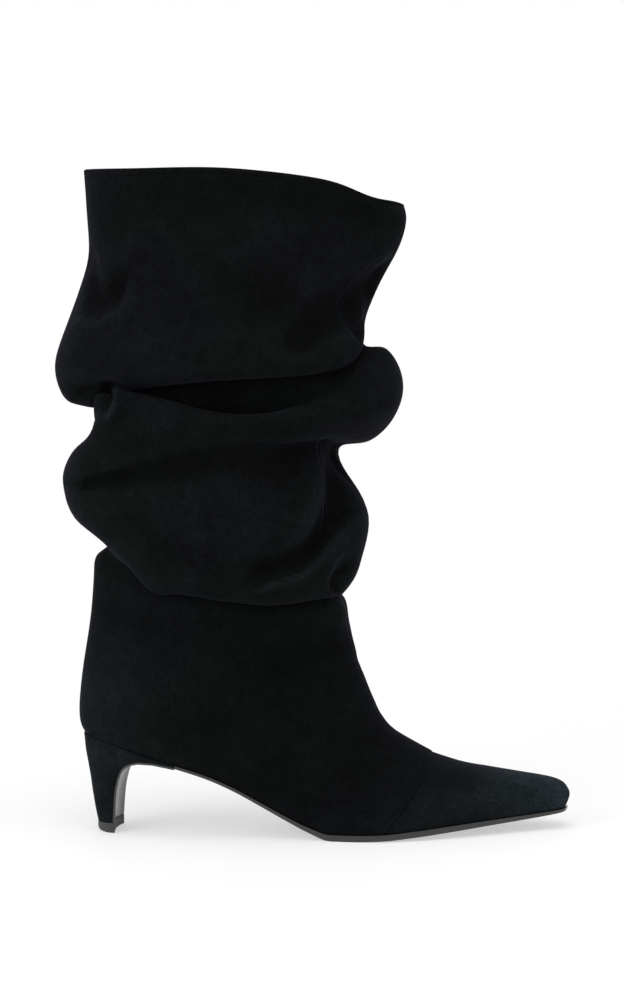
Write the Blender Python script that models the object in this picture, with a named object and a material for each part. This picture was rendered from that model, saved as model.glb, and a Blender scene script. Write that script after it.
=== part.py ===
"""Slouch boot, right foot: a hollow suede upper with a folded shaft, an insole, a leather
outsole whose rear flap runs down the heel breast, a covered kitten heel and its top piece.

Metres, +Z up, +X towards the toe, -Y towards the outer side of the foot. Sizes are in the
boot's own axes: X = 0 at the back of the sole, Z = 0 on the floor. At the end the whole boot
is moved so that the world origin is the bottom centre of its box.
"""

import math

import bmesh
import bpy
import numpy as np

# Driving sizes
SOLE_LENGTH = 0.270
BALL_WIDTH = 0.0755
HEEL_HEIGHT = 0.0540
TOE_SPRING = 0.0082
SOLE_THICKNESS = 0.0035
FLAP_THICKNESS = 0.0012
UPPER_WALL = 0.0016
INSOLE_THICKNESS = 0.0025
INSOLE_PLAY = 0.0015
TOE_CLEAR = 0.0065
HEEL_CLEAR = 0.0080
GAP = 0.0003

# Points nearer than this are one point
TINY = 1e-6

# Upper
FEATHER_INSET = 0.0008
VAMP_RISE = 0.0382
SEAM_STEP = 0.0006
SEAM_FADE = 0.030
ANKLE_RISE = 0.0660
ANKLE_LENGTH = 0.0850
ANKLE_WIDTH = 0.0400
ANKLE_CENTRE = 0.0820
SHAFT_RISE = 0.2470
# Steepest angle at which a section's side may leave its foot
STEEPEST = math.radians(80.0)

# Heel
TIP_BACK = 0.0081
TIP_LENGTH = 0.0100
TIP_WIDTH = 0.0246
TIP_CENTRE_Y = 0.0003
TOP_PIECE_HEIGHT = 0.0055
TOP_PIECE_ROUND = 0.0024
BREAST_HOLLOW = 0.0018
HEEL_TWIST = math.radians(-9.0)
HEEL_LIP = 0.0018
HEEL_SQUARE = 0.85

# How finely the faceted solids are cut
COLUMNS = 40
FOLD_CUTS = 2
PLAIN_ROWS = ("ankle", "leg", "high_waist", "collar_low")
SOLE_ACROSS = 6
END_CUT = 0.003
LIP_CUT = 0.010
UPPER_WELD = 2e-5
HEEL_ROUND = 16
TOP_PIECE_STEPS = 4

# The sole, heel to toe. along: share of SOLE_LENGTH. centre and half: shares of BALL_WIDTH,
# the centre line's place (+ is the inner side) and the half width. rise: share of the heel
# seat's height above the ball. spring: share of TOE_SPRING. thickness: share of
# SOLE_THICKNESS.
SOLE = [
    # along, centre, half, rise, spring, thickness
    (0.000, 0.034, 0.000, 1.000, 0.00, 0.50),
    (0.010, 0.030, 0.146, 0.999, 0.00, 0.50),
    (0.035, 0.022, 0.253, 0.984, 0.00, 0.50),
    (0.080, 0.000, 0.326, 0.924, 0.00, 0.50),
    (0.130, -0.035, 0.348, 0.844, 0.00, 0.48),
    (0.186, -0.064, 0.334, 0.762, 0.00, 0.48),
    (0.250, -0.080, 0.302, 0.646, 0.00, 0.50),
    (0.310, -0.078, 0.286, 0.499, 0.00, 0.54),
    (0.370, -0.062, 0.298, 0.320, 0.00, 0.58),
    (0.420, -0.045, 0.331, 0.176, 0.00, 0.66),
    (0.465, -0.028, 0.376, 0.067, 0.00, 0.82),
    (0.507, -0.008, 0.425, 0.000, 0.00, 1.00),
    (0.560, 0.017, 0.477, 0.000, 0.00, 1.00),
    (0.615, 0.030, 0.500, 0.000, 0.06, 0.97),
    (0.685, 0.040, 0.473, 0.000, 0.26, 0.97),
    (0.755, 0.050, 0.398, 0.000, 0.43, 0.95),
    (0.820, 0.055, 0.318, 0.000, 0.57, 0.84),
    (0.890, 0.060, 0.230, 0.000, 0.71, 0.72),
    (0.950, 0.062, 0.159, 0.000, 0.85, 0.60),
    (0.980, 0.062, 0.123, 0.000, 0.94, 0.52),
    (0.993, 0.062, 0.085, 0.000, 0.98, 0.46),
    (1.000, 0.062, 0.000, 0.000, 1.00, 0.42),
]

# Sections of the upper that stand on the sole, toe to heel. sole: where the foot of the
# section stands, share along the sole. ahead: how far its top is ahead of its foot, share of
# SOLE_LENGTH. rise: of the vamp, its height above the sole, share of VAMP_RISE; behind the
# seam, share of the way from the seam's top to the ankle. width: largest half width, share
# of BALL_WIDTH, at the share widest of the section's height. square: under 1 is boxier than
# an ellipse. lean: sideways place of the top, share of BALL_WIDTH.
VAMP = [
    # sole, ahead, rise, width, widest, square, lean
    (1.000, 0.0000, 0.000, 0.000, 0.50, 0.90, 0.000),
    (0.993, 0.0134, 0.220, 0.095, 0.46, 0.78, 0.000),
    (0.980, 0.0128, 0.355, 0.130, 0.44, 0.80, 0.000),
    (0.950, 0.0137, 0.450, 0.170, 0.42, 0.85, 0.000),
    (0.881, 0.0283, 0.550, 0.243, 0.38, 0.95, 0.002),
    (0.804, 0.0498, 0.645, 0.345, 0.35, 1.02, 0.005),
    (0.715, 0.0753, 0.770, 0.452, 0.32, 1.08, 0.010),
    (0.615, 0.1042, 1.000, 0.509, 0.30, 1.07, 0.016),
]
QUARTER = [
    # sole, ahead, rise, width, widest, square, lean
    (0.615, 0.1042, 0.000, 0.509, 0.30, 1.07, 0.016),
    (0.515, 0.1551, 0.097, 0.477, 0.30, 1.04, 0.020),
    (0.418, 0.2180, 0.175, 0.444, 0.36, 1.00, 0.020),
    (0.315, 0.2969, 0.279, 0.437, 0.42, 1.00, 0.018),
    (0.204, 0.3922, 0.390, 0.440, 0.44, 1.00, 0.014),
    (0.100, 0.4846, 0.480, 0.448, 0.45, 1.00, 0.010),
    (0.037, 0.5383, 0.565, 0.456, 0.46, 1.00, 0.006),
    (0.012, 0.5591, 0.600, 0.460, 0.46, 1.00, 0.004),
    (0.000, 0.5670, 0.640, 0.464, 0.46, 1.00, 0.002),
]
# Closed rings between the heel seat and the ankle. back_x and front_x: shares of
# SOLE_LENGTH. back_z: share of ANKLE_RISE above the seat. front_z as rise above.
COUNTER = [
    # back_x, back_z, front_x, front_z, width, widest
    (-0.0060, 0.075, 0.565, 0.690, 0.468, 0.47),
    (-0.0092, 0.200, 0.562, 0.750, 0.472, 0.47),
    (-0.0035, 0.480, 0.554, 0.850, 0.482, 0.48),
]

# The slouched shaft, from the ankle up to the collar: a row for each fold line, eight
# places round it. Height of each fold line above the ankle, share of SHAFT_RISE.
FOLD_HEIGHT = {
    # back, back and out, out, front and out, front, front and in, in, back and in
    "ankle":      (0.000, 0.000, 0.000, 0.000, 0.000, 0.000, 0.000, 0.000),
    "leg":        (0.085, 0.065, 0.032, 0.024, 0.028, 0.040, 0.060, 0.080),
    "low_tuck":   (0.135, 0.125, 0.078, 0.064, 0.038, 0.072, 0.105, 0.130),
    "low_under":  (0.158, 0.130, 0.058, 0.057, 0.050, 0.064, 0.085, 0.130),
    "low_edge":   (0.172, 0.146, 0.075, 0.078, 0.072, 0.086, 0.102, 0.146),
    "low_full":   (0.222, 0.200, 0.140, 0.122, 0.122, 0.140, 0.165, 0.200),
    "low_body":   (0.285, 0.275, 0.250, 0.225, 0.245, 0.235, 0.255, 0.275),
    "mid_crease": (0.325, 0.320, 0.375, 0.392, 0.376, 0.365, 0.336, 0.325),
    "mid_body":   (0.372, 0.390, 0.425, 0.422, 0.392, 0.395, 0.381, 0.372),
    "lip_face":   (0.408, 0.478, 0.462, 0.455, 0.438, 0.432, 0.424, 0.412),
    "lip_top":    (0.430, 0.520, 0.475, 0.477, 0.500, 0.470, 0.448, 0.432),
    "lip_back":   (0.446, 0.512, 0.468, 0.505, 0.560, 0.500, 0.446, 0.452),
    "valley":     (0.459, 0.497, 0.450, 0.530, 0.603, 0.520, 0.440, 0.456),
    "shelf":      (0.464, 0.503, 0.500, 0.552, 0.606, 0.545, 0.480, 0.470),
    "high_tuck":  (0.470, 0.520, 0.560, 0.578, 0.618, 0.580, 0.535, 0.495),
    "high_under": (0.482, 0.517, 0.545, 0.563, 0.624, 0.575, 0.515, 0.488),
    "high_edge":  (0.505, 0.535, 0.560, 0.578, 0.640, 0.590, 0.530, 0.508),
    "high_full":  (0.565, 0.590, 0.615, 0.618, 0.680, 0.640, 0.590, 0.575),
    "high_body":  (0.665, 0.685, 0.700, 0.695, 0.750, 0.720, 0.690, 0.675),
    "high_waist": (0.800, 0.815, 0.850, 0.830, 0.845, 0.830, 0.830, 0.815),
    "collar_low": (0.925, 0.935, 0.950, 0.925, 0.890, 0.905, 0.925, 0.925),
    "collar":     (0.992, 0.998, 1.000, 0.971, 0.918, 0.925, 0.962, 0.982),
}
# Reach of each fold line from the shaft's axis, share of ANKLE_LENGTH and ANKLE_WIDTH.
FOLD_REACH = {
    # back, back and out, out, front and out, front, front and in, in, back and in
    "ankle":      (0.910, 0.930, 0.935, 0.900, 0.765, 0.900, 0.935, 0.930),
    "leg":        (0.895, 0.920, 0.930, 0.900, 0.740, 0.900, 0.930, 0.920),
    "low_tuck":   (0.875, 0.850, 0.870, 0.800, 0.730, 0.800, 0.860, 0.850),
    "low_under":  (0.800, 0.900, 1.050, 0.885, 0.722, 0.880, 1.020, 0.890),
    "low_edge":   (0.795, 0.960, 1.180, 0.955, 0.768, 0.945, 1.150, 0.950),
    "low_full":   (1.005, 1.080, 1.230, 1.000, 0.845, 1.000, 1.230, 1.070),
    "low_body":   (1.080, 1.160, 1.170, 0.980, 0.885, 0.980, 1.180, 1.160),
    "mid_crease": (1.080, 1.120, 1.040, 0.800, 0.680, 0.880, 1.060, 1.130),
    "mid_body":   (1.010, 1.120, 1.140, 0.970, 0.900, 1.000, 1.150, 1.110),
    "lip_face":   (0.890, 1.100, 1.190, 1.140, 1.040, 1.090, 1.200, 0.950),
    "lip_top":    (0.825, 1.080, 1.130, 1.170, 1.115, 1.130, 1.150, 0.880),
    "lip_back":   (0.805, 0.970, 1.000, 1.120, 1.090, 1.080, 1.020, 0.840),
    "valley":     (0.800, 0.880, 0.870, 1.010, 1.000, 0.980, 0.900, 0.830),
    "shelf":      (0.820, 0.820, 0.820, 0.900, 0.880, 0.880, 0.840, 0.830),
    "high_tuck":  (0.930, 0.800, 0.860, 0.850, 0.850, 0.850, 0.870, 0.870),
    "high_under": (1.045, 0.880, 1.080, 0.960, 0.848, 0.950, 1.070, 1.000),
    "high_edge":  (1.095, 1.000, 1.210, 1.040, 0.858, 1.030, 1.190, 1.130),
    "high_full":  (1.130, 1.190, 1.240, 1.010, 0.885, 1.040, 1.240, 1.200),
    "high_body":  (1.035, 1.090, 1.130, 0.900, 0.975, 0.960, 1.130, 1.100),
    "high_waist": (0.910, 0.980, 0.990, 0.960, 1.110, 0.980, 1.000, 0.980),
    "collar_low": (0.918, 0.940, 0.890, 0.960, 1.135, 0.950, 0.890, 0.930),
    "collar":     (0.930, 0.930, 0.870, 0.960, 1.118, 0.950, 0.870, 0.920),
}
# Local sags and dents of single fold lines. turn: where it lies, degrees from the back round
# the outer side, and spread how far it reaches each way. height and reach: what it adds to
# the fold line's own, as above.
DENTS = [
    # line, turn, spread, height, reach
    ("low_under", 60, 11, -0.033, 0.000),
    ("low_edge", 60, 11, -0.030, 0.000),
    ("lip_face", 22, 15, 0.000, -0.070),
    ("collar", 152, 14, -0.013, 0.000),
]

# The heel from the top piece up its stem, then forward under its lip. forward and height:
# shares of HEEL_HEIGHT, place of the breast in front of the tip and above the top piece.
# back: share of TIP_BACK, and back_z of the height above the top piece. half: half width,
# share of TIP_WIDTH. hollow: share of BREAST_HOLLOW. plan: how far the row has turned from
# the tip's outline into the sole's. Rows of the lip have their thickness, share of HEEL_LIP,
# in place of height.
STEM = [
    # forward, height, back, back_z, half, hollow, plan
    (0.0000, 0.000, 1.000, 0.000, 0.497, 1.0, 0.00),
    (0.0085, 0.154, 0.800, 0.154, 0.506, 1.0, 0.00),
    (0.0210, 0.326, 0.633, 0.337, 0.528, 1.0, 0.02),
    (0.0470, 0.483, 0.500, 0.517, 0.577, 0.9, 0.06),
    (0.0870, 0.610, 0.373, 0.663, 0.651, 0.8, 0.14),
    (0.1420, 0.700, 0.260, 0.781, 0.743, 0.6, 0.28),
    (0.2180, 0.755, 0.167, 0.865, 0.844, 0.4, 0.48),
    (0.2940, 0.778, 0.100, 0.927, 0.921, 0.2, 0.68),
]
LIP = [
    # forward, thickness, back, back_z, half, hollow, plan
    (0.390, 1.00, 0.053, 0.955, 0.967, 0.0, 0.85),
    (0.500, 0.70, 0.020, 0.972, 0.988, 0.0, 0.95),
    (0.620, 0.45, 0.000, 0.985, 1.001, 0.0, 1.00),
]


def hermite(stations, values, at):
    """Smooth curve through a table that never swings past its values."""
    x, y = np.asarray(stations, float), np.asarray(values, float)
    at = np.asarray(at, float)
    step = np.diff(x)
    slope = np.diff(y) / step
    tangent = np.zeros(len(y))
    same_way = slope[:-1] * slope[1:] > 0
    total = np.where(same_way, slope[:-1] + slope[1:], 1.0)
    tangent[1:-1] = np.where(same_way, 2 * slope[:-1] * slope[1:] / total, 0.0)
    tangent[0], tangent[-1] = slope[0], slope[-1]
    i = np.clip(np.searchsorted(x, at, side="right") - 1, 0, len(step) - 1)
    t = (at - x[i]) / step[i]
    return (
        (1 + 2 * t) * (1 - t) ** 2 * y[i]
        + t * (1 - t) ** 2 * step[i] * tangent[i]
        + t * t * (3 - 2 * t) * y[i + 1]
        + t * t * (t - 1) * step[i] * tangent[i + 1]
    )


def column(table, index):
    return [row[index] for row in table]


def plan(along):
    """Centre line and half width of the sole at a share of its length."""
    places = column(SOLE, 0)
    centre = BALL_WIDTH * np.interp(along, places, column(SOLE, 1))
    half = BALL_WIDTH * np.interp(along, places, column(SOLE, 2))
    return centre, half


def sole_top(along):
    """Height of the sole's top line and of the heel seat."""
    places = column(SOLE, 0)
    rise = (HEEL_HEIGHT - SOLE_THICKNESS) * np.interp(along, places, column(SOLE, 3))
    return SOLE_THICKNESS + rise + TOE_SPRING * np.interp(along, places, column(SOLE, 4))


def mesh_object(name, vertices, faces, colour, roughness, weld=TINY):
    """An object from points and faces, with points that coincide made one."""
    mesh = bpy.data.meshes.new(name)
    mesh.from_pydata([tuple(v) for v in vertices], [], faces)
    work = bmesh.new()
    work.from_mesh(mesh)
    bmesh.ops.remove_doubles(work, verts=work.verts, dist=weld)
    bmesh.ops.dissolve_degenerate(work, edges=work.edges, dist=weld)
    bmesh.ops.recalc_face_normals(work, faces=work.faces)
    work.to_mesh(mesh)
    work.free()
    mesh.shade_smooth()
    piece = bpy.data.objects.new(name, mesh)
    bpy.context.scene.collection.objects.link(piece)
    material = bpy.data.materials.new(name)
    material.use_nodes = True
    shader = material.node_tree.nodes["Principled BSDF"]
    shader.inputs["Base Color"].default_value = (*colour, 1.0)
    shader.inputs["Roughness"].default_value = roughness
    shader.inputs["Metallic"].default_value = 0.0
    mesh.materials.append(material)
    return piece


def grid_faces(rows, columns, first=0):
    """Quads of a grid whose points are numbered row by row."""
    return [
        (
            first + r * columns + c,
            first + (r + 1) * columns + c,
            first + (r + 1) * columns + c + 1,
            first + r * columns + c + 1,
        )
        for r in range(rows - 1)
        for c in range(columns - 1)
    ]


def slab(name, upper, lower, colour, roughness):
    """A closed solid between two grids of points of the same size."""
    rows, columns = upper.shape[:2]
    count = rows * columns
    vertices = np.concatenate([upper.reshape(-1, 3), lower.reshape(-1, 3)])
    faces = grid_faces(rows, columns) + grid_faces(rows, columns, count)
    edge = (
        [(r, 0) for r in range(rows)]
        + [(rows - 1, c) for c in range(1, columns)]
        + [(r, columns - 1) for r in range(rows - 2, -1, -1)]
        + [(0, c) for c in range(columns - 2, 0, -1)]
    )
    rim = [r * columns + c for r, c in edge]
    for a, b in zip(rim, rim[1:] + rim[:1]):
        faces.append((b, a, a + count, b + count))
    return mesh_object(name, vertices, faces, colour, roughness)


def section(foot, top, foot_half, width, widest, square, lean):
    """One section of the upper: up the outer side from the foot, over the top, down the
    inner side. A section whose foot_half is 0 is a closed ring."""
    turn = np.linspace(0.0, 2 * math.pi, COLUMNS + 1)
    half_turn = np.minimum(turn, 2 * math.pi - turn)
    low = np.minimum(half_turn / (math.pi / 2), 1.0)
    high = np.maximum(half_turn - math.pi / 2, 0.0)
    start = min(math.asin(min(foot_half / max(width, TINY), 1.0)), STEEPEST)
    angle = start + (math.pi / 2 - start) * low
    low_height = widest * (math.cos(start) - np.cos(angle)) / math.cos(start)
    high_height = widest + (1 - widest) * np.sin(high) ** square
    height = np.where(high > 0, high_height, low_height)
    reach = np.where(high > 0, width * np.cos(high) ** square, width * np.sin(angle))
    side = np.where(turn > math.pi, 1.0, -1.0)
    points = np.empty((COLUMNS + 1, 3))
    points[:, 0] = foot[0] + (top[0] - foot[0]) * height
    points[:, 2] = foot[1] + (top[1] - foot[1]) * height
    low = np.clip(1 - (points[:, 2] - HEEL_HEIGHT) / ANKLE_RISE, 0, 1)
    points[:, 1] = plan(points[:, 0] / SOLE_LENGTH)[0] * low + lean * height + side * reach
    return points


def standing_sections():
    """The sections that stand on the sole, one at each of its stations, toe to heel."""
    seam_top = sole_top(VAMP[-1][0]) + GAP + VAMP_RISE
    ankle = HEEL_HEIGHT + ANKLE_RISE
    rows = []
    for along in reversed(column(SOLE, 0)):
        table = VAMP if along >= VAMP[-1][0] else QUARTER
        places = column(table, 0)[::-1]
        ahead, rise, width, widest, square, lean = (
            float(hermite(places, column(table, i)[::-1], along)) for i in range(1, 7)
        )
        half = plan(along)[1]
        foot_x = FEATHER_INSET + along * (SOLE_LENGTH - 2 * FEATHER_INSET)
        foot_z = sole_top(along) + GAP
        if table is VAMP:
            height = foot_z + rise * VAMP_RISE
        else:
            height = seam_top + rise * (ankle - seam_top)
        rows.append(
            section(
                (foot_x, foot_z),
                (foot_x + ahead * SOLE_LENGTH, height),
                max(half - FEATHER_INSET, 0.0),
                width * BALL_WIDTH,
                widest,
                square,
                lean * BALL_WIDTH,
            )
        )
    return rows


def counter_rings():
    """The closed rings round the heel counter, up to the ankle."""
    seam_top = sole_top(VAMP[-1][0]) + GAP + VAMP_RISE
    ankle = HEEL_HEIGHT + ANKLE_RISE
    rows = []
    for back_x, back_z, front_x, front_z, width, widest in COUNTER:
        back = (back_x * SOLE_LENGTH, HEEL_HEIGHT + back_z * ANKLE_RISE)
        front = (front_x * SOLE_LENGTH, seam_top + front_z * (ankle - seam_top))
        rows.append(section(back, front, 0.0, width * BALL_WIDTH, widest, 1.0, 0.0))
    return rows


def around(values, turn):
    """Smooth closed curve through values at equal turns, read at the given turns."""
    count = len(values)
    place = turn / (2 * math.pi) * count
    i = np.floor(place).astype(int)
    t = place - i
    before, here, after, beyond = (
        np.asarray(values, float)[(i + k) % count] for k in (-1, 0, 1, 2)
    )
    return here + 0.5 * t * (
        after - before
        + t * (2 * before - 5 * here + 4 * after - beyond + t * (3 * (here - after) + beyond - before))
    )


def shaft_rings():
    """A closed ring for each fold line of the slouched shaft."""
    turn = np.linspace(0.0, 2 * math.pi, COLUMNS + 1)
    ankle = HEEL_HEIGHT + ANKLE_RISE
    rows = []
    for name in FOLD_HEIGHT:
        height = around(FOLD_HEIGHT[name], turn)
        reach = around(FOLD_REACH[name], turn)
        for line, place, spread, lift, push in DENTS:
            if line == name:
                away = (np.degrees(turn) - place + 180) % 360 - 180
                near = np.exp(-((away / spread) ** 2))
                height = height + lift * near
                reach = reach + push * near
        ring = np.empty((COLUMNS + 1, 3))
        ring[:, 0] = ANKLE_CENTRE - ANKLE_LENGTH * reach * np.cos(turn)
        ring[:, 1] = -ANKLE_WIDTH * reach * np.sin(turn)
        ring[:, 2] = ankle + SHAFT_RISE * height
        rows.append(ring)
    return rows


def loft(rings, cuts):
    """Rings between the given ones, on a smooth curve along each column. cuts holds the
    number of steps from each ring to the next."""
    first = 2 * rings[0] - rings[1]
    last = 2 * rings[-1] - rings[-2]
    line = [first, *rings, last]
    made = [rings[0]]
    for i, steps in enumerate(cuts):
        a, b, c, d = line[i : i + 4]
        knot = [np.zeros(len(a))]
        for p, q in ((a, b), (b, c), (c, d)):
            knot.append(knot[-1] + np.maximum(np.linalg.norm(q - p, axis=1), TINY) ** 0.5)
        t0, t1, t2, t3 = (k[:, None] for k in knot)
        for step in range(1, steps + 1):
            t = t1 + (t2 - t1) * step / steps
            ab = (t1 - t) / (t1 - t0) * a + (t - t0) / (t1 - t0) * b
            bc = (t2 - t) / (t2 - t1) * b + (t - t1) / (t2 - t1) * c
            cd = (t3 - t) / (t3 - t2) * c + (t - t2) / (t3 - t2) * d
            abc = (t2 - t) / (t2 - t0) * ab + (t - t0) / (t2 - t0) * bc
            bcd = (t3 - t) / (t3 - t1) * bc + (t - t1) / (t3 - t1) * cd
            made.append((t2 - t) / (t2 - t1) * abc + (t - t1) / (t2 - t1) * bcd)
    return made


def outward(grid, closed):
    """Unit normals away from the boot's inside. Rings from number closed on are closed. The
    steps before and after a row count alike, so that a sharp tuck keeps its wall."""
    step = np.diff(grid, axis=0)
    step /= np.maximum(np.linalg.norm(step, axis=2, keepdims=True), TINY)
    along = np.concatenate([step[:1], step]) + np.concatenate([step, step[-1:]])
    across = np.gradient(grid, axis=1)
    wrapped = (grid[closed:, 1] - grid[closed:, -2]) / 2
    across[closed:, 0] = wrapped
    across[closed:, -1] = wrapped
    normal = np.cross(across, along)
    normal[0] = normal[1].mean(axis=0)
    return normal / np.linalg.norm(normal, axis=2, keepdims=True)


def make_upper():
    """The hollow wall: an outer sheet from the toe over the vamp and up the shaft, an inner
    sheet one wall inside it, and rims that join them at the feather edge and the collar. The
    vamp's outer sheet lies one step lower than the leg's along the seam."""
    standing = standing_sections()
    shaft = shaft_rings()
    cuts = [1] * (len(standing) + len(COUNTER))
    cuts += [1 if name in PLAIN_ROWS else FOLD_CUTS for name in FOLD_HEIGHT][:-1]
    sheet = np.array(loft([*standing, *counter_rings(), *shaft], cuts))
    normal = outward(sheet, len(standing) - 1)
    seam = sum(along > VAMP[-1][0] for along in column(SOLE, 0))
    ahead = (sheet[: seam + 1, :, :1] - sheet[seam, :, :1]) / SEAM_FADE
    vamp = sheet[: seam + 1] - SEAM_STEP * np.clip(1 - ahead, 0, 1) * normal[: seam + 1]
    outer = np.concatenate([vamp, sheet[seam:]])
    lining = sheet - UPPER_WALL * normal
    inner = np.concatenate([lining[: seam + 1], lining[seam:]])
    feet = len(standing) + 1
    for side in (0, COLUMNS):
        inner[:feet, side, 2] = sole_top(inner[:feet, side, 0] / SOLE_LENGTH) + GAP
    rows, columns = outer.shape[:2]
    count = rows * columns
    faces = grid_faces(rows, columns) + grid_faces(rows, columns, count)
    rims = [[row * columns + side for row in range(feet)] for side in (0, COLUMNS)]
    rims.append([(rows - 1) * columns + c for c in range(columns)])
    for rim in rims:
        for a, b in zip(rim, rim[1:]):
            faces.append((a, b, b + count, a + count))
    vertices = np.concatenate([outer.reshape(-1, 3), inner.reshape(-1, 3)])
    return mesh_object("upper", vertices, faces, (0.012, 0.013, 0.015), 0.95, weld=UPPER_WELD)


def make_insole():
    """The board and sock inside the upper, resting on the outsole and the heel seat."""
    margin = FEATHER_INSET + UPPER_WALL + INSOLE_PLAY
    start, end = HEEL_CLEAR / SOLE_LENGTH, 1 - TOE_CLEAR / SOLE_LENGTH
    inner = [a for a in column(SOLE, 0) if start + END_CUT < a < end - END_CUT]
    along = np.array([start, *inner, end])
    x = along * SOLE_LENGTH
    centre, half = plan(along)
    outline = plan(np.array(column(SOLE, 0)))[1]
    slope = np.abs(np.diff(outline) / np.diff(column(SOLE, 0))) / SOLE_LENGTH
    at = np.searchsorted(column(SOLE, 0), along, side="right") - 1
    before = np.searchsorted(column(SOLE, 0), along, side="left") - 1
    steepest = np.maximum(slope[at], slope[before])
    half = np.maximum(half - margin * np.hypot(1.0, steepest), 0.0)
    across = np.linspace(-1.0, 1.0, SOLE_ACROSS + 1)
    lower = np.empty((len(x), SOLE_ACROSS + 1, 3))
    lower[:, :, 0] = x[:, None]
    lower[:, :, 1] = centre[:, None] + half[:, None] * across
    lower[:, :, 2] = (sole_top(x / SOLE_LENGTH) + GAP)[:, None]
    upper = lower + np.array([0.0, 0.0, INSOLE_THICKNESS])
    return slab("insole", upper, lower, (0.020, 0.018, 0.017), 0.5)


def tip_front():
    return TIP_BACK + TIP_LENGTH


def above_top_piece(share):
    low = TOP_PIECE_HEIGHT + GAP
    return low + share * (HEEL_HEIGHT - low)


def twist(points, share):
    """Turns points about the heel tip's upright axis, by a share of HEEL_TWIST."""
    angle = HEEL_TWIST * share
    about = np.array([TIP_BACK + TIP_LENGTH / 2, TIP_CENTRE_Y])
    turned = points.copy()
    flat = points[..., :2] - about
    turned[..., 0] = about[0] + flat[..., 0] * math.cos(angle) - flat[..., 1] * math.sin(angle)
    turned[..., 1] = about[1] + flat[..., 0] * math.sin(angle) + flat[..., 1] * math.cos(angle)
    return turned


def breast_line():
    """The heel's front line in side view, from the tip up and forward along the lip."""
    rows = [(tip_front() + r[0] * HEEL_HEIGHT, above_top_piece(r[1])) for r in STEM]
    for forward, thick, *rest in LIP:
        x = tip_front() + forward * HEEL_HEIGHT
        rows.append((x, sole_top(x / SOLE_LENGTH) - thick * HEEL_LIP))
    return np.array(rows)


def breast_normals(line):
    """Unit normals of the breast line, away from the heel."""
    run = np.gradient(line, axis=0)
    normal = np.stack([run[:, 1], -run[:, 0]], axis=1)
    return normal / np.linalg.norm(normal, axis=1, keepdims=True)


def heel_row(index, line):
    """Centre, half width and share of the sole's plan of one row of the heel."""
    row = (STEM + LIP)[index]
    share = row[6]
    middle, wide = plan(line[index, 0] / SOLE_LENGTH)
    centre = TIP_CENTRE_Y + (middle - TIP_CENTRE_Y) * share
    half = row[4] * TIP_WIDTH + (wide - row[4] * TIP_WIDTH) * share
    return centre, half, share


def breast_strip(away):
    """Points across the breast and under the lip, moved away from the heel by that much."""
    line = breast_line()
    normals = breast_normals(line)
    across = np.linspace(-1.0, 1.0, SOLE_ACROSS + 1)
    strip = np.empty((len(line), len(across), 3))
    for i, row in enumerate(STEM + LIP):
        centre, half, share = heel_row(i, line)
        out = away - row[5] * BREAST_HOLLOW * (1 - across**2)
        strip[i, :, 0] = line[i, 0] + normals[i, 0] * out
        strip[i, :, 1] = centre + half * across
        strip[i, :, 2] = line[i, 1] + normals[i, 1] * out
        strip[i] = twist(strip[i], 1 - share)
    return strip


def heel_back(index, turn, line):
    """The back and the sides of one row of the heel, from the outer to the inner side."""
    row = (STEM + LIP)[index]
    centre, half, share = heel_row(index, line)
    front_x, front_z = line[index]
    back_x, back_z = row[2] * TIP_BACK, above_top_piece(row[3])
    bow = np.cos(turn) ** HEEL_SQUARE
    arc = np.empty((len(turn), 3))
    arc[:, 0] = front_x + (back_x - front_x) * bow
    middle, wide = plan(arc[:, 0] / SOLE_LENGTH)
    own = centre + half * np.sign(np.sin(turn)) * np.abs(np.sin(turn)) ** HEEL_SQUARE
    arc[:, 1] = own + (middle + wide * np.sign(np.sin(turn)) - own) * share
    front_drop = sole_top(front_x / SOLE_LENGTH) - front_z
    back_drop = sole_top(back_x / SOLE_LENGTH) - back_z
    arc[:, 2] = sole_top(arc[:, 0] / SOLE_LENGTH) - front_drop - (back_drop - front_drop) * bow
    return twist(arc, 1 - share)


def back_turns():
    """Turns of the points round the back of the heel, both ends left out."""
    return np.linspace(-math.pi / 2, math.pi / 2, HEEL_ROUND + 1)[1:-1]


def ringed_solid(name, rings, arc_count, colour, roughness):
    """A closed solid from equal rings. Each ring starts with arc_count points round its back
    and goes on with the points across its front."""
    count = len(rings[0])
    vertices = np.concatenate(rings)
    faces = []
    for r in range(len(rings) - 1):
        for c in range(count):
            after = (c + 1) % count
            low, high = r * count, (r + 1) * count
            faces.append((low + c, high + c, high + after, low + after))
    for base in (0, (len(rings) - 1) * count):
        cap = []
        half = arc_count // 2
        for c in range(half):
            partner = arc_count - 1 - c
            if partner - c > 2:
                cap.append((c, c + 1, partner - 1, partner))
            elif partner - c == 2:
                cap.append((c, c + 1, partner))
        cap.append(tuple([arc_count - 1, *range(arc_count, count), 0]))
        for face in cap:
            faces.append(tuple(base + c for c in face))
    return mesh_object(name, vertices, faces, colour, roughness)


def make_heel():
    """The covered heel: rows from the top piece up the stem and out to the seat."""
    line = breast_line()
    strip = breast_strip(0.0)
    turn = back_turns()
    rings = [
        np.concatenate([heel_back(i, turn, line), strip[i, ::-1]]) for i in range(len(line))
    ]
    seat = rings[-1].copy()
    seat[:, 2] = sole_top(seat[:, 0] / SOLE_LENGTH)
    rings.append(seat)
    return ringed_solid("heel", rings, len(turn), (0.012, 0.014, 0.016), 0.9)


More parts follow.
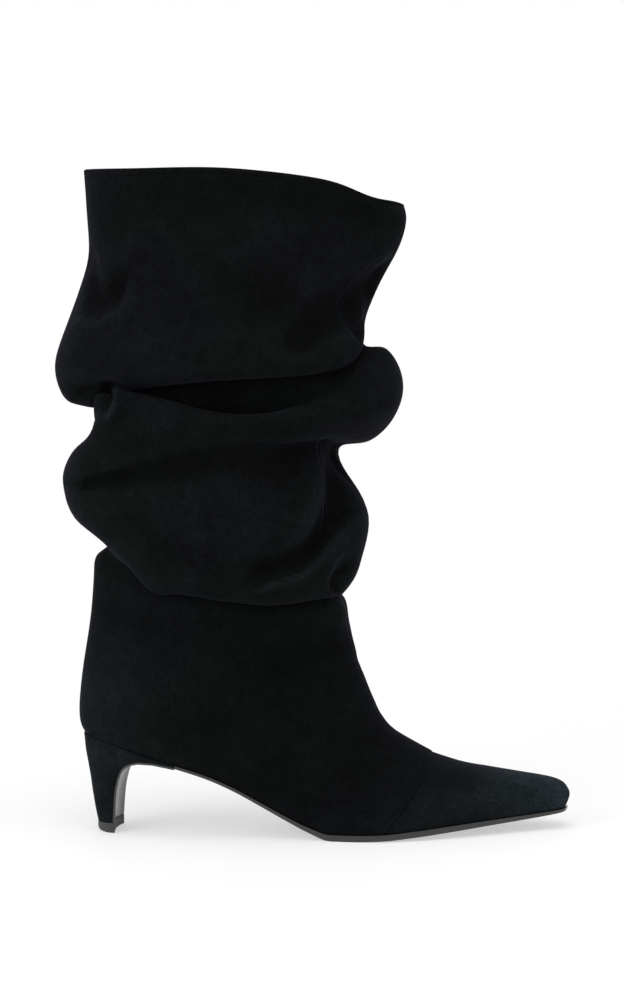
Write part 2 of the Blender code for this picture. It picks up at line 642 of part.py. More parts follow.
def make_top_piece():
    """The rubber lift, as wide as the tip and as long as tip and flap together."""
    line = breast_line()
    turn = back_turns()
    ring = np.concatenate([heel_back(0, turn, line), breast_strip(GAP + FLAP_THICKNESS)[0, ::-1]])
    rings = []
    for step in range(TOP_PIECE_STEPS + 1):
        rise = step / TOP_PIECE_STEPS
        level = ring.copy()
        back = np.clip((tip_front() - ring[:, 0]) / TIP_LENGTH, 0, 1)
        level[:, 0] += TOP_PIECE_ROUND * (1 - math.sqrt(1 - (1 - rise) ** 2)) * back
        level[:, 2] = rise * TOP_PIECE_ROUND
        rings.append(level)
    top = ring.copy()
    top[:, 2] = TOP_PIECE_HEIGHT
    rings.append(top)
    return ringed_solid("top_piece", rings, len(turn), (0.035, 0.036, 0.038), 0.55)


def make_outsole():
    """The sole from the toe to the lip of the heel, then under the lip and down the breast."""
    line = breast_line()
    lip_x = line[-1, 0] + GAP
    along = np.array(column(SOLE, 0))
    along = along[along > lip_x / SOLE_LENGTH + LIP_CUT]
    across = np.linspace(-1.0, 1.0, SOLE_ACROSS + 1)
    along = np.concatenate([along[::-1], [lip_x / SOLE_LENGTH]])
    centre, half = plan(along)
    top = np.empty((len(along), len(across), 3))
    top[:, :, 0] = (along * SOLE_LENGTH)[:, None]
    top[:, :, 1] = centre[:, None] + half[:, None] * across
    top[:, :, 2] = sole_top(along)[:, None]
    bottom = top.copy()
    thick = SOLE_THICKNESS * np.interp(along, column(SOLE, 0), column(SOLE, 5))
    bottom[:, :, 2] -= thick[:, None]
    upper = np.concatenate([breast_strip(GAP), top[::-1]])
    lower = np.concatenate([breast_strip(GAP + FLAP_THICKNESS), bottom[::-1]])
    return slab("outsole", upper, lower, (0.030, 0.031, 0.033), 0.35)


def stand_at_origin(pieces):
    """Moves the boot so that the world origin is the bottom centre of its box."""
    corners = []
    bpy.context.view_layer.update()
    for piece in pieces:
        corners += [piece.matrix_world @ v.co for v in piece.data.vertices]
    low = np.min(np.array(corners), axis=0)
    high = np.max(np.array(corners), axis=0)
    shift = [-(low[0] + high[0]) / 2, -(low[1] + high[1]) / 2, -low[2]]
    for piece in pieces:
        piece.location = shift


def main():
    for old in list(bpy.data.objects):
        bpy.data.objects.remove(old)
    pieces = [make_upper(), make_insole(), make_outsole(), make_heel(), make_top_piece()]
    stand_at_origin(pieces)


main()
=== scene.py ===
"""Slouch boot in black suede: the looks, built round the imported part.

The visible boot is modelled from the same tables of sections and fold lines as the part,
cut more finely and with the creases, seams and nap of the suede. It is laid out as an add-on
and run as a script.
"""

import math

import bmesh
import bpy
import numpy as np
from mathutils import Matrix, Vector
from mathutils.bvhtree import BVHTree


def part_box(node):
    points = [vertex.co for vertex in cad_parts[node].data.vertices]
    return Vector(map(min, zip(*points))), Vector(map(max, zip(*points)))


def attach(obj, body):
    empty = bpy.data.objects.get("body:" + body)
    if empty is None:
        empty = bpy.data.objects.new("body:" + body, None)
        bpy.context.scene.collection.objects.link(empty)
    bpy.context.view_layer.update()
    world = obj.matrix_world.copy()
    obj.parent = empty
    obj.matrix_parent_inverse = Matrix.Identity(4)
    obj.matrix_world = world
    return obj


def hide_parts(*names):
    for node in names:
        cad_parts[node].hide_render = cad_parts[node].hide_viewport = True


bl_info = {
    "name": "Slouch boot",
    "version": (1, 0, 0),
    "blender": (4, 5, 0),
    "location": "3D View > Sidebar > Boot",
    "description": "Builds the looks of a black suede slouch boot round its packed part",
    "category": "Object",
}

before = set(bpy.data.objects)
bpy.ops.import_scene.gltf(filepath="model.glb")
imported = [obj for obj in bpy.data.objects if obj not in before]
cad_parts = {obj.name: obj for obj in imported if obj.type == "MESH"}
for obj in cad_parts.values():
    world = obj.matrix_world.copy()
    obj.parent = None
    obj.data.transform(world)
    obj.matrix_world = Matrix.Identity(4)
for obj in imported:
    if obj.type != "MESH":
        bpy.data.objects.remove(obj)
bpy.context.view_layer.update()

# Sizes of the boot, as in the part
SOLE_LENGTH = 0.270
BALL_WIDTH = 0.0755
HEEL_HEIGHT = 0.0540
TOE_SPRING = 0.0082
SOLE_THICKNESS = 0.0035
FLAP_THICKNESS = 0.0012
UPPER_WALL = 0.0016
INSOLE_THICKNESS = 0.0025
INSOLE_PLAY = 0.0015
TOE_CLEAR = 0.0065
HEEL_CLEAR = 0.0080
GAP = 0.0003

# Points nearer than TINY are one point, and in the suede and its lining nearer than WELD
TINY = 1e-6
WELD = 2e-5

# Upper
FEATHER_INSET = 0.0008
VAMP_RISE = 0.0382
SEAM_STEP = 0.0006
SEAM_FADE = 0.030
ANKLE_RISE = 0.0660
ANKLE_LENGTH = 0.0850
ANKLE_WIDTH = 0.0400
ANKLE_CENTRE = 0.0820
SHAFT_RISE = 0.2470
# Steepest angle at which a section's side may leave its foot
STEEPEST = math.radians(80.0)

# Heel
TIP_BACK = 0.0081
TIP_LENGTH = 0.0100
TIP_WIDTH = 0.0246
TIP_CENTRE_Y = 0.0003
TOP_PIECE_HEIGHT = 0.0055
TOP_PIECE_ROUND = 0.0024
BREAST_HOLLOW = 0.0018
HEEL_TWIST = math.radians(-9.0)
HEEL_LIP = 0.0018
HEEL_SQUARE = 0.85
BOOT_HEIGHT = HEEL_HEIGHT + ANKLE_RISE + SHAFT_RISE

# How finely the visible pieces are cut
COLUMNS = 352
STATION_CUTS = 4
FOLD_CUTS = 8
SOLE_ACROSS = 20
HEEL_ROUND = 48
HEEL_CUTS = 4
TOP_PIECE_STEPS = 5
# Cuts nearer than this share of the sole to an end of the insole, or to the outsole's end
# at the heel, are left out.
CUT_MARGIN = 0.003
# The insole's first cut is this share as wide as its second
INSOLE_BACK = 0.6
# Radius of each piece's edges, and the angle from which an edge is rounded
INSOLE_EDGE = 0.0004
HEEL_EDGE = 0.0003
TOP_PIECE_EDGE = 0.0002
EDGE_ANGLE = math.radians(40.0)
# The cut edge of the collar is crowned by this much
RIM_RISE = 0.0005

# Where the boot stands in the row's frame: its outsole ends at the toe's tip, and at the
# ball's inner edge, which is this share of BALL_WIDTH from the boot's own axis.
BALL_INNER_EDGE = 0.530
OUTSOLE_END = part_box("outsole")[1]
ORIGIN = np.array(
    [OUTSOLE_END[0] - SOLE_LENGTH, OUTSOLE_END[1] - BALL_INNER_EDGE * BALL_WIDTH, 0.0]
)

# The sole, heel to toe. along: share of SOLE_LENGTH. centre and half: shares of BALL_WIDTH,
# the centre line's place (+ is the inner side) and the half width. rise: share of the heel
# seat's height above the ball. spring: share of TOE_SPRING. thickness: share of
# SOLE_THICKNESS.
SOLE = [
    # along, centre, half, rise, spring, thickness
    (0.000, 0.034, 0.000, 1.000, 0.00, 0.50),
    (0.010, 0.030, 0.146, 0.999, 0.00, 0.50),
    (0.035, 0.022, 0.253, 0.984, 0.00, 0.50),
    (0.080, 0.000, 0.326, 0.924, 0.00, 0.50),
    (0.130, -0.035, 0.348, 0.844, 0.00, 0.48),
    (0.186, -0.064, 0.334, 0.762, 0.00, 0.48),
    (0.250, -0.080, 0.302, 0.646, 0.00, 0.50),
    (0.310, -0.078, 0.286, 0.499, 0.00, 0.54),
    (0.370, -0.062, 0.298, 0.320, 0.00, 0.58),
    (0.420, -0.045, 0.331, 0.176, 0.00, 0.66),
    (0.465, -0.028, 0.376, 0.067, 0.00, 0.82),
    (0.507, -0.008, 0.425, 0.000, 0.00, 1.00),
    (0.560, 0.017, 0.477, 0.000, 0.00, 1.00),
    (0.615, 0.030, 0.500, 0.000, 0.06, 0.97),
    (0.685, 0.040, 0.473, 0.000, 0.26, 0.97),
    (0.755, 0.050, 0.398, 0.000, 0.43, 0.95),
    (0.820, 0.055, 0.318, 0.000, 0.57, 0.84),
    (0.890, 0.060, 0.230, 0.000, 0.71, 0.72),
    (0.950, 0.062, 0.159, 0.000, 0.85, 0.60),
    (0.980, 0.062, 0.123, 0.000, 0.94, 0.52),
    (0.993, 0.062, 0.085, 0.000, 0.98, 0.46),
    (1.000, 0.062, 0.000, 0.000, 1.00, 0.42),
]

# Sections of the upper that stand on the sole, toe to heel. sole: where the foot of the
# section stands, share along the sole. ahead: how far its top is ahead of its foot, share of
# SOLE_LENGTH. rise: of the vamp, its height above the sole, share of VAMP_RISE; behind the
# seam, share of the way from the seam's top to the ankle. width: largest half width, share
# of BALL_WIDTH, at the share widest of the section's height. square: under 1 is boxier than
# an ellipse. lean: sideways place of the top, share of BALL_WIDTH.
VAMP = [
    # sole, ahead, rise, width, widest, square, lean
    (1.000, 0.0000, 0.000, 0.000, 0.50, 0.90, 0.000),
    (0.993, 0.0134, 0.220, 0.095, 0.46, 0.78, 0.000),
    (0.980, 0.0128, 0.355, 0.130, 0.44, 0.80, 0.000),
    (0.950, 0.0137, 0.450, 0.170, 0.42, 0.85, 0.000),
    (0.881, 0.0283, 0.550, 0.243, 0.38, 0.95, 0.002),
    (0.804, 0.0498, 0.645, 0.345, 0.35, 1.02, 0.005),
    (0.715, 0.0753, 0.770, 0.452, 0.32, 1.08, 0.010),
    (0.615, 0.1042, 1.000, 0.509, 0.30, 1.07, 0.016),
]
QUARTER = [
    # sole, ahead, rise, width, widest, square, lean
    (0.615, 0.1042, 0.000, 0.509, 0.30, 1.07, 0.016),
    (0.515, 0.1551, 0.097, 0.477, 0.30, 1.04, 0.020),
    (0.418, 0.2180, 0.175, 0.444, 0.36, 1.00, 0.020),
    (0.315, 0.2969, 0.279, 0.437, 0.42, 1.00, 0.018),
    (0.204, 0.3922, 0.390, 0.440, 0.44, 1.00, 0.014),
    (0.100, 0.4846, 0.480, 0.448, 0.45, 1.00, 0.010),
    (0.037, 0.5383, 0.565, 0.456, 0.46, 1.00, 0.006),
    (0.012, 0.5591, 0.600, 0.460, 0.46, 1.00, 0.004),
    (0.000, 0.5670, 0.640, 0.464, 0.46, 1.00, 0.002),
]
# Closed rings between the heel seat and the ankle. back_x and front_x: shares of
# SOLE_LENGTH. back_z: share of ANKLE_RISE above the seat. front_z as rise above.
COUNTER = [
    # back_x, back_z, front_x, front_z, width, widest
    (-0.0060, 0.075, 0.565, 0.690, 0.468, 0.47),
    (-0.0092, 0.200, 0.562, 0.750, 0.472, 0.47),
    (-0.0035, 0.480, 0.554, 0.850, 0.482, 0.48),
]

# The slouched shaft, from the ankle up to the collar: a row for each fold line, eight
# places round it. Height of each fold line above the ankle, share of SHAFT_RISE.
FOLD_HEIGHT = {
    # back, back and out, out, front and out, front, front and in, in, back and in
    "ankle":      (0.000, 0.000, 0.000, 0.000, 0.000, 0.000, 0.000, 0.000),
    "leg":        (0.085, 0.065, 0.032, 0.024, 0.028, 0.040, 0.060, 0.080),
    "low_tuck":   (0.135, 0.125, 0.078, 0.064, 0.038, 0.072, 0.105, 0.130),
    "low_under":  (0.158, 0.130, 0.058, 0.057, 0.050, 0.064, 0.085, 0.130),
    "low_edge":   (0.172, 0.146, 0.075, 0.078, 0.072, 0.086, 0.102, 0.146),
    "low_full":   (0.222, 0.200, 0.140, 0.122, 0.122, 0.140, 0.165, 0.200),
    "low_body":   (0.285, 0.275, 0.250, 0.225, 0.245, 0.235, 0.255, 0.275),
    "mid_crease": (0.325, 0.320, 0.375, 0.392, 0.376, 0.365, 0.336, 0.325),
    "mid_body":   (0.372, 0.390, 0.425, 0.422, 0.392, 0.395, 0.381, 0.372),
    "lip_face":   (0.408, 0.478, 0.462, 0.455, 0.438, 0.432, 0.424, 0.412),
    "lip_top":    (0.430, 0.520, 0.475, 0.477, 0.500, 0.470, 0.448, 0.432),
    "lip_back":   (0.446, 0.512, 0.468, 0.505, 0.560, 0.500, 0.446, 0.452),
    "valley":     (0.459, 0.497, 0.450, 0.530, 0.603, 0.520, 0.440, 0.456),
    "shelf":      (0.464, 0.503, 0.500, 0.552, 0.606, 0.545, 0.480, 0.470),
    "high_tuck":  (0.470, 0.520, 0.560, 0.578, 0.618, 0.580, 0.535, 0.495),
    "high_under": (0.482, 0.517, 0.545, 0.563, 0.624, 0.575, 0.515, 0.488),
    "high_edge":  (0.505, 0.535, 0.560, 0.578, 0.640, 0.590, 0.530, 0.508),
    "high_full":  (0.565, 0.590, 0.615, 0.618, 0.680, 0.640, 0.590, 0.575),
    "high_body":  (0.665, 0.685, 0.700, 0.695, 0.750, 0.720, 0.690, 0.675),
    "high_waist": (0.800, 0.815, 0.850, 0.830, 0.845, 0.830, 0.830, 0.815),
    "collar_low": (0.925, 0.935, 0.950, 0.925, 0.890, 0.905, 0.925, 0.925),
    "collar":     (0.992, 0.998, 1.000, 0.971, 0.918, 0.925, 0.962, 0.982),
}
FOLD_NAMES = list(FOLD_HEIGHT)
# Reach of each fold line from the shaft's axis, share of ANKLE_LENGTH and ANKLE_WIDTH.
FOLD_REACH = {
    # back, back and out, out, front and out, front, front and in, in, back and in
    "ankle":      (0.910, 0.930, 0.935, 0.900, 0.765, 0.900, 0.935, 0.930),
    "leg":        (0.895, 0.920, 0.930, 0.900, 0.740, 0.900, 0.930, 0.920),
    "low_tuck":   (0.875, 0.850, 0.870, 0.800, 0.730, 0.800, 0.860, 0.850),
    "low_under":  (0.800, 0.900, 1.050, 0.885, 0.722, 0.880, 1.020, 0.890),
    "low_edge":   (0.795, 0.960, 1.180, 0.955, 0.768, 0.945, 1.150, 0.950),
    "low_full":   (1.005, 1.080, 1.230, 1.000, 0.845, 1.000, 1.230, 1.070),
    "low_body":   (1.080, 1.160, 1.170, 0.980, 0.885, 0.980, 1.180, 1.160),
    "mid_crease": (1.080, 1.120, 1.040, 0.800, 0.680, 0.880, 1.060, 1.130),
    "mid_body":   (1.010, 1.120, 1.140, 0.970, 0.900, 1.000, 1.150, 1.110),
    "lip_face":   (0.890, 1.100, 1.190, 1.140, 1.040, 1.090, 1.200, 0.950),
    "lip_top":    (0.825, 1.080, 1.130, 1.170, 1.115, 1.130, 1.150, 0.880),
    "lip_back":   (0.805, 0.970, 1.000, 1.120, 1.090, 1.080, 1.020, 0.840),
    "valley":     (0.800, 0.880, 0.870, 1.010, 1.000, 0.980, 0.900, 0.830),
    "shelf":      (0.820, 0.820, 0.820, 0.900, 0.880, 0.880, 0.840, 0.830),
    "high_tuck":  (0.930, 0.800, 0.860, 0.850, 0.850, 0.850, 0.870, 0.870),
    "high_under": (1.045, 0.880, 1.080, 0.960, 0.848, 0.950, 1.070, 1.000),
    "high_edge":  (1.095, 1.000, 1.210, 1.040, 0.858, 1.030, 1.190, 1.130),
    "high_full":  (1.130, 1.190, 1.240, 1.010, 0.885, 1.040, 1.240, 1.200),
    "high_body":  (1.035, 1.090, 1.130, 0.900, 0.975, 0.960, 1.130, 1.100),
    "high_waist": (0.910, 0.980, 0.990, 0.960, 1.110, 0.980, 1.000, 0.980),
    "collar_low": (0.918, 0.940, 0.890, 0.960, 1.135, 0.950, 0.890, 0.930),
    "collar":     (0.930, 0.930, 0.870, 0.960, 1.118, 0.950, 0.870, 0.920),
}
# Level of the rows that lie below all fold lines
BELOW_FOLDS = -9.0
# Local sags and dents of single fold lines. turn: where it lies, degrees from the back round
# the outer side, and spread how far it reaches each way. height and reach: what it adds to
# the fold line's own, as above.
DENTS = [
    # line, turn, spread, height, reach
    ("low_under", 60, 11, -0.033, 0.000),
    ("low_edge", 60, 11, -0.030, 0.000),
    ("lip_face", 22, 15, 0.000, -0.070),
    ("collar", 152, 14, -0.013, 0.000),
]

# The heel from the top piece up its stem, then forward under its lip. forward and height:
# shares of HEEL_HEIGHT, place of the breast in front of the tip and above the top piece.
# back: share of TIP_BACK, and back_z of the height above the top piece. half: half width,
# share of TIP_WIDTH. hollow: share of BREAST_HOLLOW. plan: how far the row has turned from
# the tip's outline into the sole's. Rows of the lip have their thickness, share of HEEL_LIP,
# in place of height.
STEM = [
    # forward, height, back, back_z, half, hollow, plan
    (0.0000, 0.000, 1.000, 0.000, 0.497, 1.0, 0.00),
    (0.0085, 0.154, 0.800, 0.154, 0.506, 1.0, 0.00),
    (0.0210, 0.326, 0.633, 0.337, 0.528, 1.0, 0.02),
    (0.0470, 0.483, 0.500, 0.517, 0.577, 0.9, 0.06),
    (0.0870, 0.610, 0.373, 0.663, 0.651, 0.8, 0.14),
    (0.1420, 0.700, 0.260, 0.781, 0.743, 0.6, 0.28),
    (0.2180, 0.755, 0.167, 0.865, 0.844, 0.4, 0.48),
    (0.2940, 0.778, 0.100, 0.927, 0.921, 0.2, 0.68),
]
LIP = [
    # forward, thickness, back, back_z, half, hollow, plan
    (0.390, 1.00, 0.053, 0.955, 0.967, 0.0, 0.85),
    (0.500, 0.70, 0.020, 0.972, 0.988, 0.0, 0.95),
    (0.620, 0.45, 0.000, 0.985, 1.001, 0.0, 1.00),
]

# Creases and rolls of the outer side. first and last: the fold lines between which they lie.
# depth: millimetres, less than 0 for a hollow. left and right: how far they reach to each side
# of the line, as it is drawn, millimetres. Then the line: shares of SOLE_LENGTH from the heel
# and of BOOT_HEIGHT from the floor.
CREASES = [
    # first, last, depth, left, right, line
    # crease across the middle tier
    ("low_body", "lip_face", -2.2, 2.5, 6.5,
     ((-0.030, 0.533), (0.025, 0.542), (0.085, 0.554), (0.165, 0.566),
      (0.255, 0.579), (0.345, 0.588), (0.425, 0.592), (0.495, 0.592))),
    # its deep end at the back
    ("low_body", "mid_body", -4.0, 2.0, 4.0, ((0.014, 0.538), (0.056, 0.545), (0.102, 0.552))),
    # its deep end at the seam
    ("mid_crease", "mid_body", -3.4, 2.5, 5.0, ((0.418, 0.589), (0.456, 0.592), (0.494, 0.592))),
    # ridge under it
    ("low_body", "mid_crease", 0.5, 8.0, 12.0,
     ((0.016, 0.521), (0.106, 0.533), (0.246, 0.551), (0.366, 0.562), (0.456, 0.574))),
    # hollow behind the lip's back end
    ("lip_face", "high_edge", -5.5, 5.0, 2.5, ((0.052, 0.648), (0.062, 0.657), (0.068, 0.669))),
    # edge of the lip's back end
    ("mid_body", "lip_back", 2.0, 8.0, 2.0,
     ((0.060, 0.638), (0.076, 0.648), (0.078, 0.664), (0.078, 0.682))),
    # crease on the top tier's back corner, and the roll under it
    ("high_under", "high_full", -2.4, 3.0, 6.0, ((0.006, 0.670), (0.038, 0.679), (0.078, 0.683))),
    ("high_under", "high_edge", 1.6, 4.0, 5.0, ((-0.014, 0.657), (0.026, 0.660), (0.054, 0.657))),
    # fold down the top tier's back
    ("high_full", "high_waist", -3.8, 2.0, 6.0,
     ((0.028, 0.873), (0.034, 0.846), (0.042, 0.822), (0.052, 0.796))),
    # back dent, and the roll under it
    ("high_full", "high_waist", -6.2, 8.0, 2.5,
     ((0.022, 0.790), (0.042, 0.796), (0.060, 0.799), (0.080, 0.805), (0.092, 0.821))),
    ("high_full", "high_body", 2.4, 4.0, 8.0,
     ((0.018, 0.785), (0.042, 0.790), (0.070, 0.791), (0.090, 0.805), (0.110, 0.820))),
    # front dent
    ("high_full", "high_waist", -6.4, 9.0, 8.0,
     ((0.590, 0.829), (0.550, 0.812), (0.522, 0.796), (0.482, 0.778), (0.446, 0.753))),
    # fold of the far panel
    ("high_full", "high_waist", -4.2, 9.0, 2.0,
     ((0.630, 0.857), (0.590, 0.832), (0.558, 0.815), (0.536, 0.799), (0.546, 0.777),
      (0.570, 0.751))),
    # soft hollows above the front dent, by the collar and in the top tier
    ("high_body", "collar_low", -0.7, 13.0, 13.0,
     ((0.418, 0.882), (0.470, 0.897), (0.526, 0.900), (0.570, 0.926))),
    ("high_waist", "collar", -1.0, 14.0, 14.0,
     ((0.370, 0.990), (0.446, 0.957), (0.536, 0.937), (0.616, 0.940))),
    ("high_full", "high_waist", -0.5, 16.0, 16.0, ((0.266, 0.871), (0.316, 0.837), (0.370, 0.827))),
    # roll over the top tier's edge
    ("high_edge", "high_full", 0.5, 10.0, 8.0, ((0.316, 0.721), (0.426, 0.724), (0.516, 0.738))),
    # edge of the near panel along the front seam
    ("low_full", "mid_crease", 2.2, 2.0, 10.0,
     ((0.492, 0.588), (0.490, 0.557), (0.491, 0.524), (0.476, 0.500), (0.466, 0.478),
      (0.456, 0.460))),
    # hollow beside it
    ("low_full", "mid_crease", -5.5, 9.0, 3.0,
     ((0.507, 0.560), (0.506, 0.520), (0.500, 0.496), (0.490, 0.472), (0.474, 0.449))),
    # dark fold inside the curl of the low tier, and the curl
    ("low_edge", "low_body", -6.5, 2.5, 8.0,
     ((0.532, 0.484), (0.519, 0.477), (0.505, 0.466), (0.492, 0.455), (0.478, 0.443),
      (0.460, 0.433), (0.440, 0.421), (0.408, 0.412), (0.376, 0.406))),
    ("low_under", "low_body", 3.2, 10.0, 2.0,
     ((0.548, 0.478), (0.530, 0.469), (0.516, 0.457), (0.504, 0.447), (0.490, 0.434),
      (0.470, 0.423), (0.448, 0.409), (0.414, 0.400), (0.382, 0.394))),
    # small curl at the front
    ("low_under", "low_full", -3.6, 6.0, 2.0,
     ((0.542, 0.427), (0.530, 0.415), (0.518, 0.402), (0.512, 0.391), (0.514, 0.380))),
    # soft hollows and a ridge in the low and middle tiers
    ("low_edge", "low_body", -1.3, 9.0, 9.0,
     ((0.126, 0.488), (0.166, 0.459), (0.238, 0.433), (0.290, 0.420))),
    ("low_edge", "low_body", -0.8, 9.0, 9.0, ((0.276, 0.460), (0.326, 0.442), (0.370, 0.436))),
    ("low_body", "mid_crease", 0.6, 12.0, 12.0, ((0.422, 0.458), (0.446, 0.495), (0.456, 0.532))),
    # flex of the ankle's front
    ("leg", "low_tuck", -0.8, 7.0, 7.0, ((0.446, 0.302), (0.506, 0.320), (0.550, 0.328))),
]
# The same for the inner side, which the photograph doesn't show.
INNER_CREASES = [
    # first, last, depth, left, right, line
    ("low_body", "lip_face", -3.0, 5.0, 11.0,
     ((0.02, 0.535), (0.15, 0.548), (0.30, 0.560), (0.46, 0.585))),
    ("low_edge", "low_body", -2.8, 9.0, 8.0, ((0.42, 0.430), (0.34, 0.445), (0.26, 0.470))),
    ("low_edge", "low_body", -2.4, 9.0, 9.0, ((0.10, 0.455), (0.17, 0.440), (0.24, 0.420))),
    ("high_full", "high_waist", -3.6, 10.0, 8.0, ((0.50, 0.800), (0.43, 0.790), (0.35, 0.765))),
    ("high_full", "high_waist", -3.0, 9.0, 8.0, ((0.03, 0.800), (0.10, 0.790), (0.17, 0.765))),
    ("high_body", "collar_low", -2.0, 14.0, 14.0, ((0.20, 0.900), (0.32, 0.870), (0.44, 0.880))),
]
# Where the shaft's two seams run, at each fold line: the turn from the front towards the
# outer side, and from the back towards the outer side, in degrees.
SEAM_TURN = {
    "low_under": (0, 0),
    "low_edge": (10, 0),
    "low_full": (60, 0),
    "low_body": (50, 0),
    "mid_crease": (43, 0),
    "mid_body": (30, 0),
    "lip_face": (8, 0),
    "high_edge": (0, 0),
    "high_full": (25, 8),
    "high_body": (37, 22),
    "high_waist": (8, 4),
    "collar_low": (0, 0),
}
# The shaft's own seams stay hidden from the tuck under the low tier to this far, in fold
# lines, above its fullest line.
SEAM_HIDDEN = 0.6
# Where the suede's folds come nearer to the lining than this, the lining is drawn back
LINING_DEPTH = 0.0011
# Painted highlight, share of the paler colour on the heel, above it, on the vamp and, more, at the
# toe's tip
HEEL_HIGHLIGHT = 0.24
COUNTER_HIGHLIGHT = 0.13
VAMP_HIGHLIGHT = 0.16
TIP_HIGHLIGHT = 0.90
# Where that painted highlight lies, shares of SOLE_LENGTH: from the back of the heel to here,
# and over the toe. Above the heel it starts to fade, and ends, at these shares of HEEL_HEIGHT.
COUNTER_END = 0.24
COUNTER_LOW, COUNTER_HIGH = 1.25, 2.5
TOE_START = 0.74
TOE_RUN = 0.22
# Painted shade and highlight of a fold, and painted highlight on the edge of a fold: over how
# many rows and columns each is read, and how far out a point stands there at full strength.
FOLD_SHADE_SPAN, FOLD_SHADE_FULL = 5, 0.0013
EDGE_HIGHLIGHT_SPAN, EDGE_HIGHLIGHT_FULL = 1, 0.0004
# The cut edge of the collar takes this much of the painted highlight of a fold and of an edge
RIM_HIGHLIGHT = 0.6
# Seams in millimetres: the groove's half width, the row of stitches beside it, its stitches
# and their half width, and the farthest that a point's distance from a seam is told. A
# stitch is full, and ends, at these shares of the pitch from its middle.
GROOVE = 0.75
STITCH_AWAY = 1.9
STITCH_PITCH = 2.6
STITCH_FULL_WIDE, STITCH_WIDE = 0.18, 0.40
STITCH_FULL_LONG, STITCH_LONG = 0.30, 0.40
SEAM_FAR = 9.0
# How a side's creases fade out at the front and the back, where the other side's begin
SIDE_FADE = 0.22
SIDE_START = 0.15
# However creases add up, they go no deeper than this
DEEPEST = 0.0075
# Gentle unevenness of the suede: height and length of each wave in millimetres, and the way
# it runs. The waves reach their full height this far above the seat and are lower towards
# the collar.
WAVES_FULL = 0.060
WAVES_AT_COLLAR = 0.3
WAVES = [
    # height, length, x, y, z
    (0.20, 52.0, 0.80, 0.30, 0.52),
    (0.14, 37.0, -0.55, 0.50, 0.67),
    (0.10, 26.0, 0.25, -0.45, 0.86),
]
# The suede's nap, from large patches down to its grain. shares: range of the noise that is
# used, and how dark and how pale it makes the nap.
NAP = {
    # scale, detail, roughness, shares from and to, darkest, palest
    "patches": (42.0, 4.0, 0.62, 0.32, 0.70, 0.82, 1.18),
    "brushed": (420.0, 4.0, 0.62, 0.30, 0.72, 0.76, 1.26),
    "grain": (1000.0, 4.0, 0.75, 0.30, 0.72, 0.45, 1.60),
    "mottle": (120.0, 3.0, 0.60, 0.30, 0.72, 0.80, 1.20),
}
# The brushed noise is drawn out a little down the shaft
BRUSH_STRETCH = (1.0, 1.0, 0.7)
# How deep the bump of the nap and of the seams is, metres, and how strong that of the nap
GRAIN_DEPTH, GRAIN_STRENGTH = 0.00035, 0.8
BRUSH_DEPTH, BRUSH_STRENGTH = 0.0010, 0.35
GROOVE_DEPTH = 0.0008
STITCH_RISE = 0.0004

# The stage, metres and watts. The sheets stand from below the floor to well above the boot.
FLOOR_HALF = 30.0
# The floor glows this much beside the boot, and wholly beyond the second of two shares of
# the clear floor.
FLOOR_GLOW = 0.50
FLOOR_NEAR, FLOOR_FAR = 0.5, 1.6
SHEET_LOW, SHEET_HIGH = -1.0, 12.0
BACKDROP_AWAY = 20.0
BACKDROP_HALF = 9.0
HORIZON_AWAY = 15.0
HORIZON_SIDES = 64
SKY_STRENGTH = 0.60
LIGHT_AIM = (0.0, 0.0, 0.18)
LIGHTS = [
    # name, place, side, power
    ("overhead", (0.0, -0.3, 1.9), 1.0, 13.0),
    ("heel_side", (-1.5, -0.9, 0.9), 1.4, 18.0),
    ("toe_side", (1.6, -0.5, 1.1), 1.4, 5.5),
]
# The camera: its lens and sensor in millimetres, what it looks at in the boot's axes, and
# how far from there it stands.
LENS = 112
SENSOR = 36
CAMERA_AIM = (0.127, 0.0, 0.1846)
CAMERA_AWAY = (0.0, -1.7, 0.2210)


def hermite(stations, values, at):
    """Smooth curve through a table that never swings past its values."""
    x, y = np.asarray(stations, float), np.asarray(values, float)
    at = np.asarray(at, float)
    step = np.diff(x)
    slope = np.diff(y) / step
    tangent = np.zeros(len(y))
    same_way = slope[:-1] * slope[1:] > 0
    total = np.where(same_way, slope[:-1] + slope[1:], 1.0)
    tangent[1:-1] = np.where(same_way, 2 * slope[:-1] * slope[1:] / total, 0.0)
    tangent[0], tangent[-1] = slope[0], slope[-1]
    i = np.clip(np.searchsorted(x, at, side="right") - 1, 0, len(step) - 1)
    t = (at - x[i]) / step[i]
    return (
        (1 + 2 * t) * (1 - t) ** 2 * y[i]
        + t * (1 - t) ** 2 * step[i] * tangent[i]
        + t * t * (3 - 2 * t) * y[i + 1]
        + t * t * (t - 1) * step[i] * tangent[i + 1]
    )


def column(table, index):
    return [row[index] for row in table]


def plan(along):
    """Centre line and half width of the sole at a share of its length."""
    places = column(SOLE, 0)
    centre = BALL_WIDTH * hermite(places, column(SOLE, 1), along)
    half = BALL_WIDTH * hermite(places, column(SOLE, 2), along)
    return centre, half


def sole_top(along):
    """Height of the sole's top line and of the heel seat."""
    places = column(SOLE, 0)
    rise = (HEEL_HEIGHT - SOLE_THICKNESS) * hermite(places, column(SOLE, 3), along)
    return SOLE_THICKNESS + rise + TOE_SPRING * hermite(places, column(SOLE, 4), along)


def sole_sheet(along, centre, half, height):
    """Points across the sole, in rows at the given shares of its length."""
    across = np.linspace(-1.0, 1.0, SOLE_ACROSS + 1)
    sheet = np.empty((len(along), len(across), 3))
    sheet[:, :, 0] = (along * SOLE_LENGTH)[:, None]
    sheet[:, :, 1] = centre[:, None] + half[:, None] * across
    sheet[:, :, 2] = height[:, None]
    return sheet


def fine_stations():
    """Shares along the sole: its stations, and cuts between them."""
    places = column(SOLE, 0)
    made = [places[0]]
    for a, b in zip(places, places[1:]):
        made += [a + (b - a) * step / STATION_CUTS for step in range(1, STATION_CUTS + 1)]
    return np.array(made)


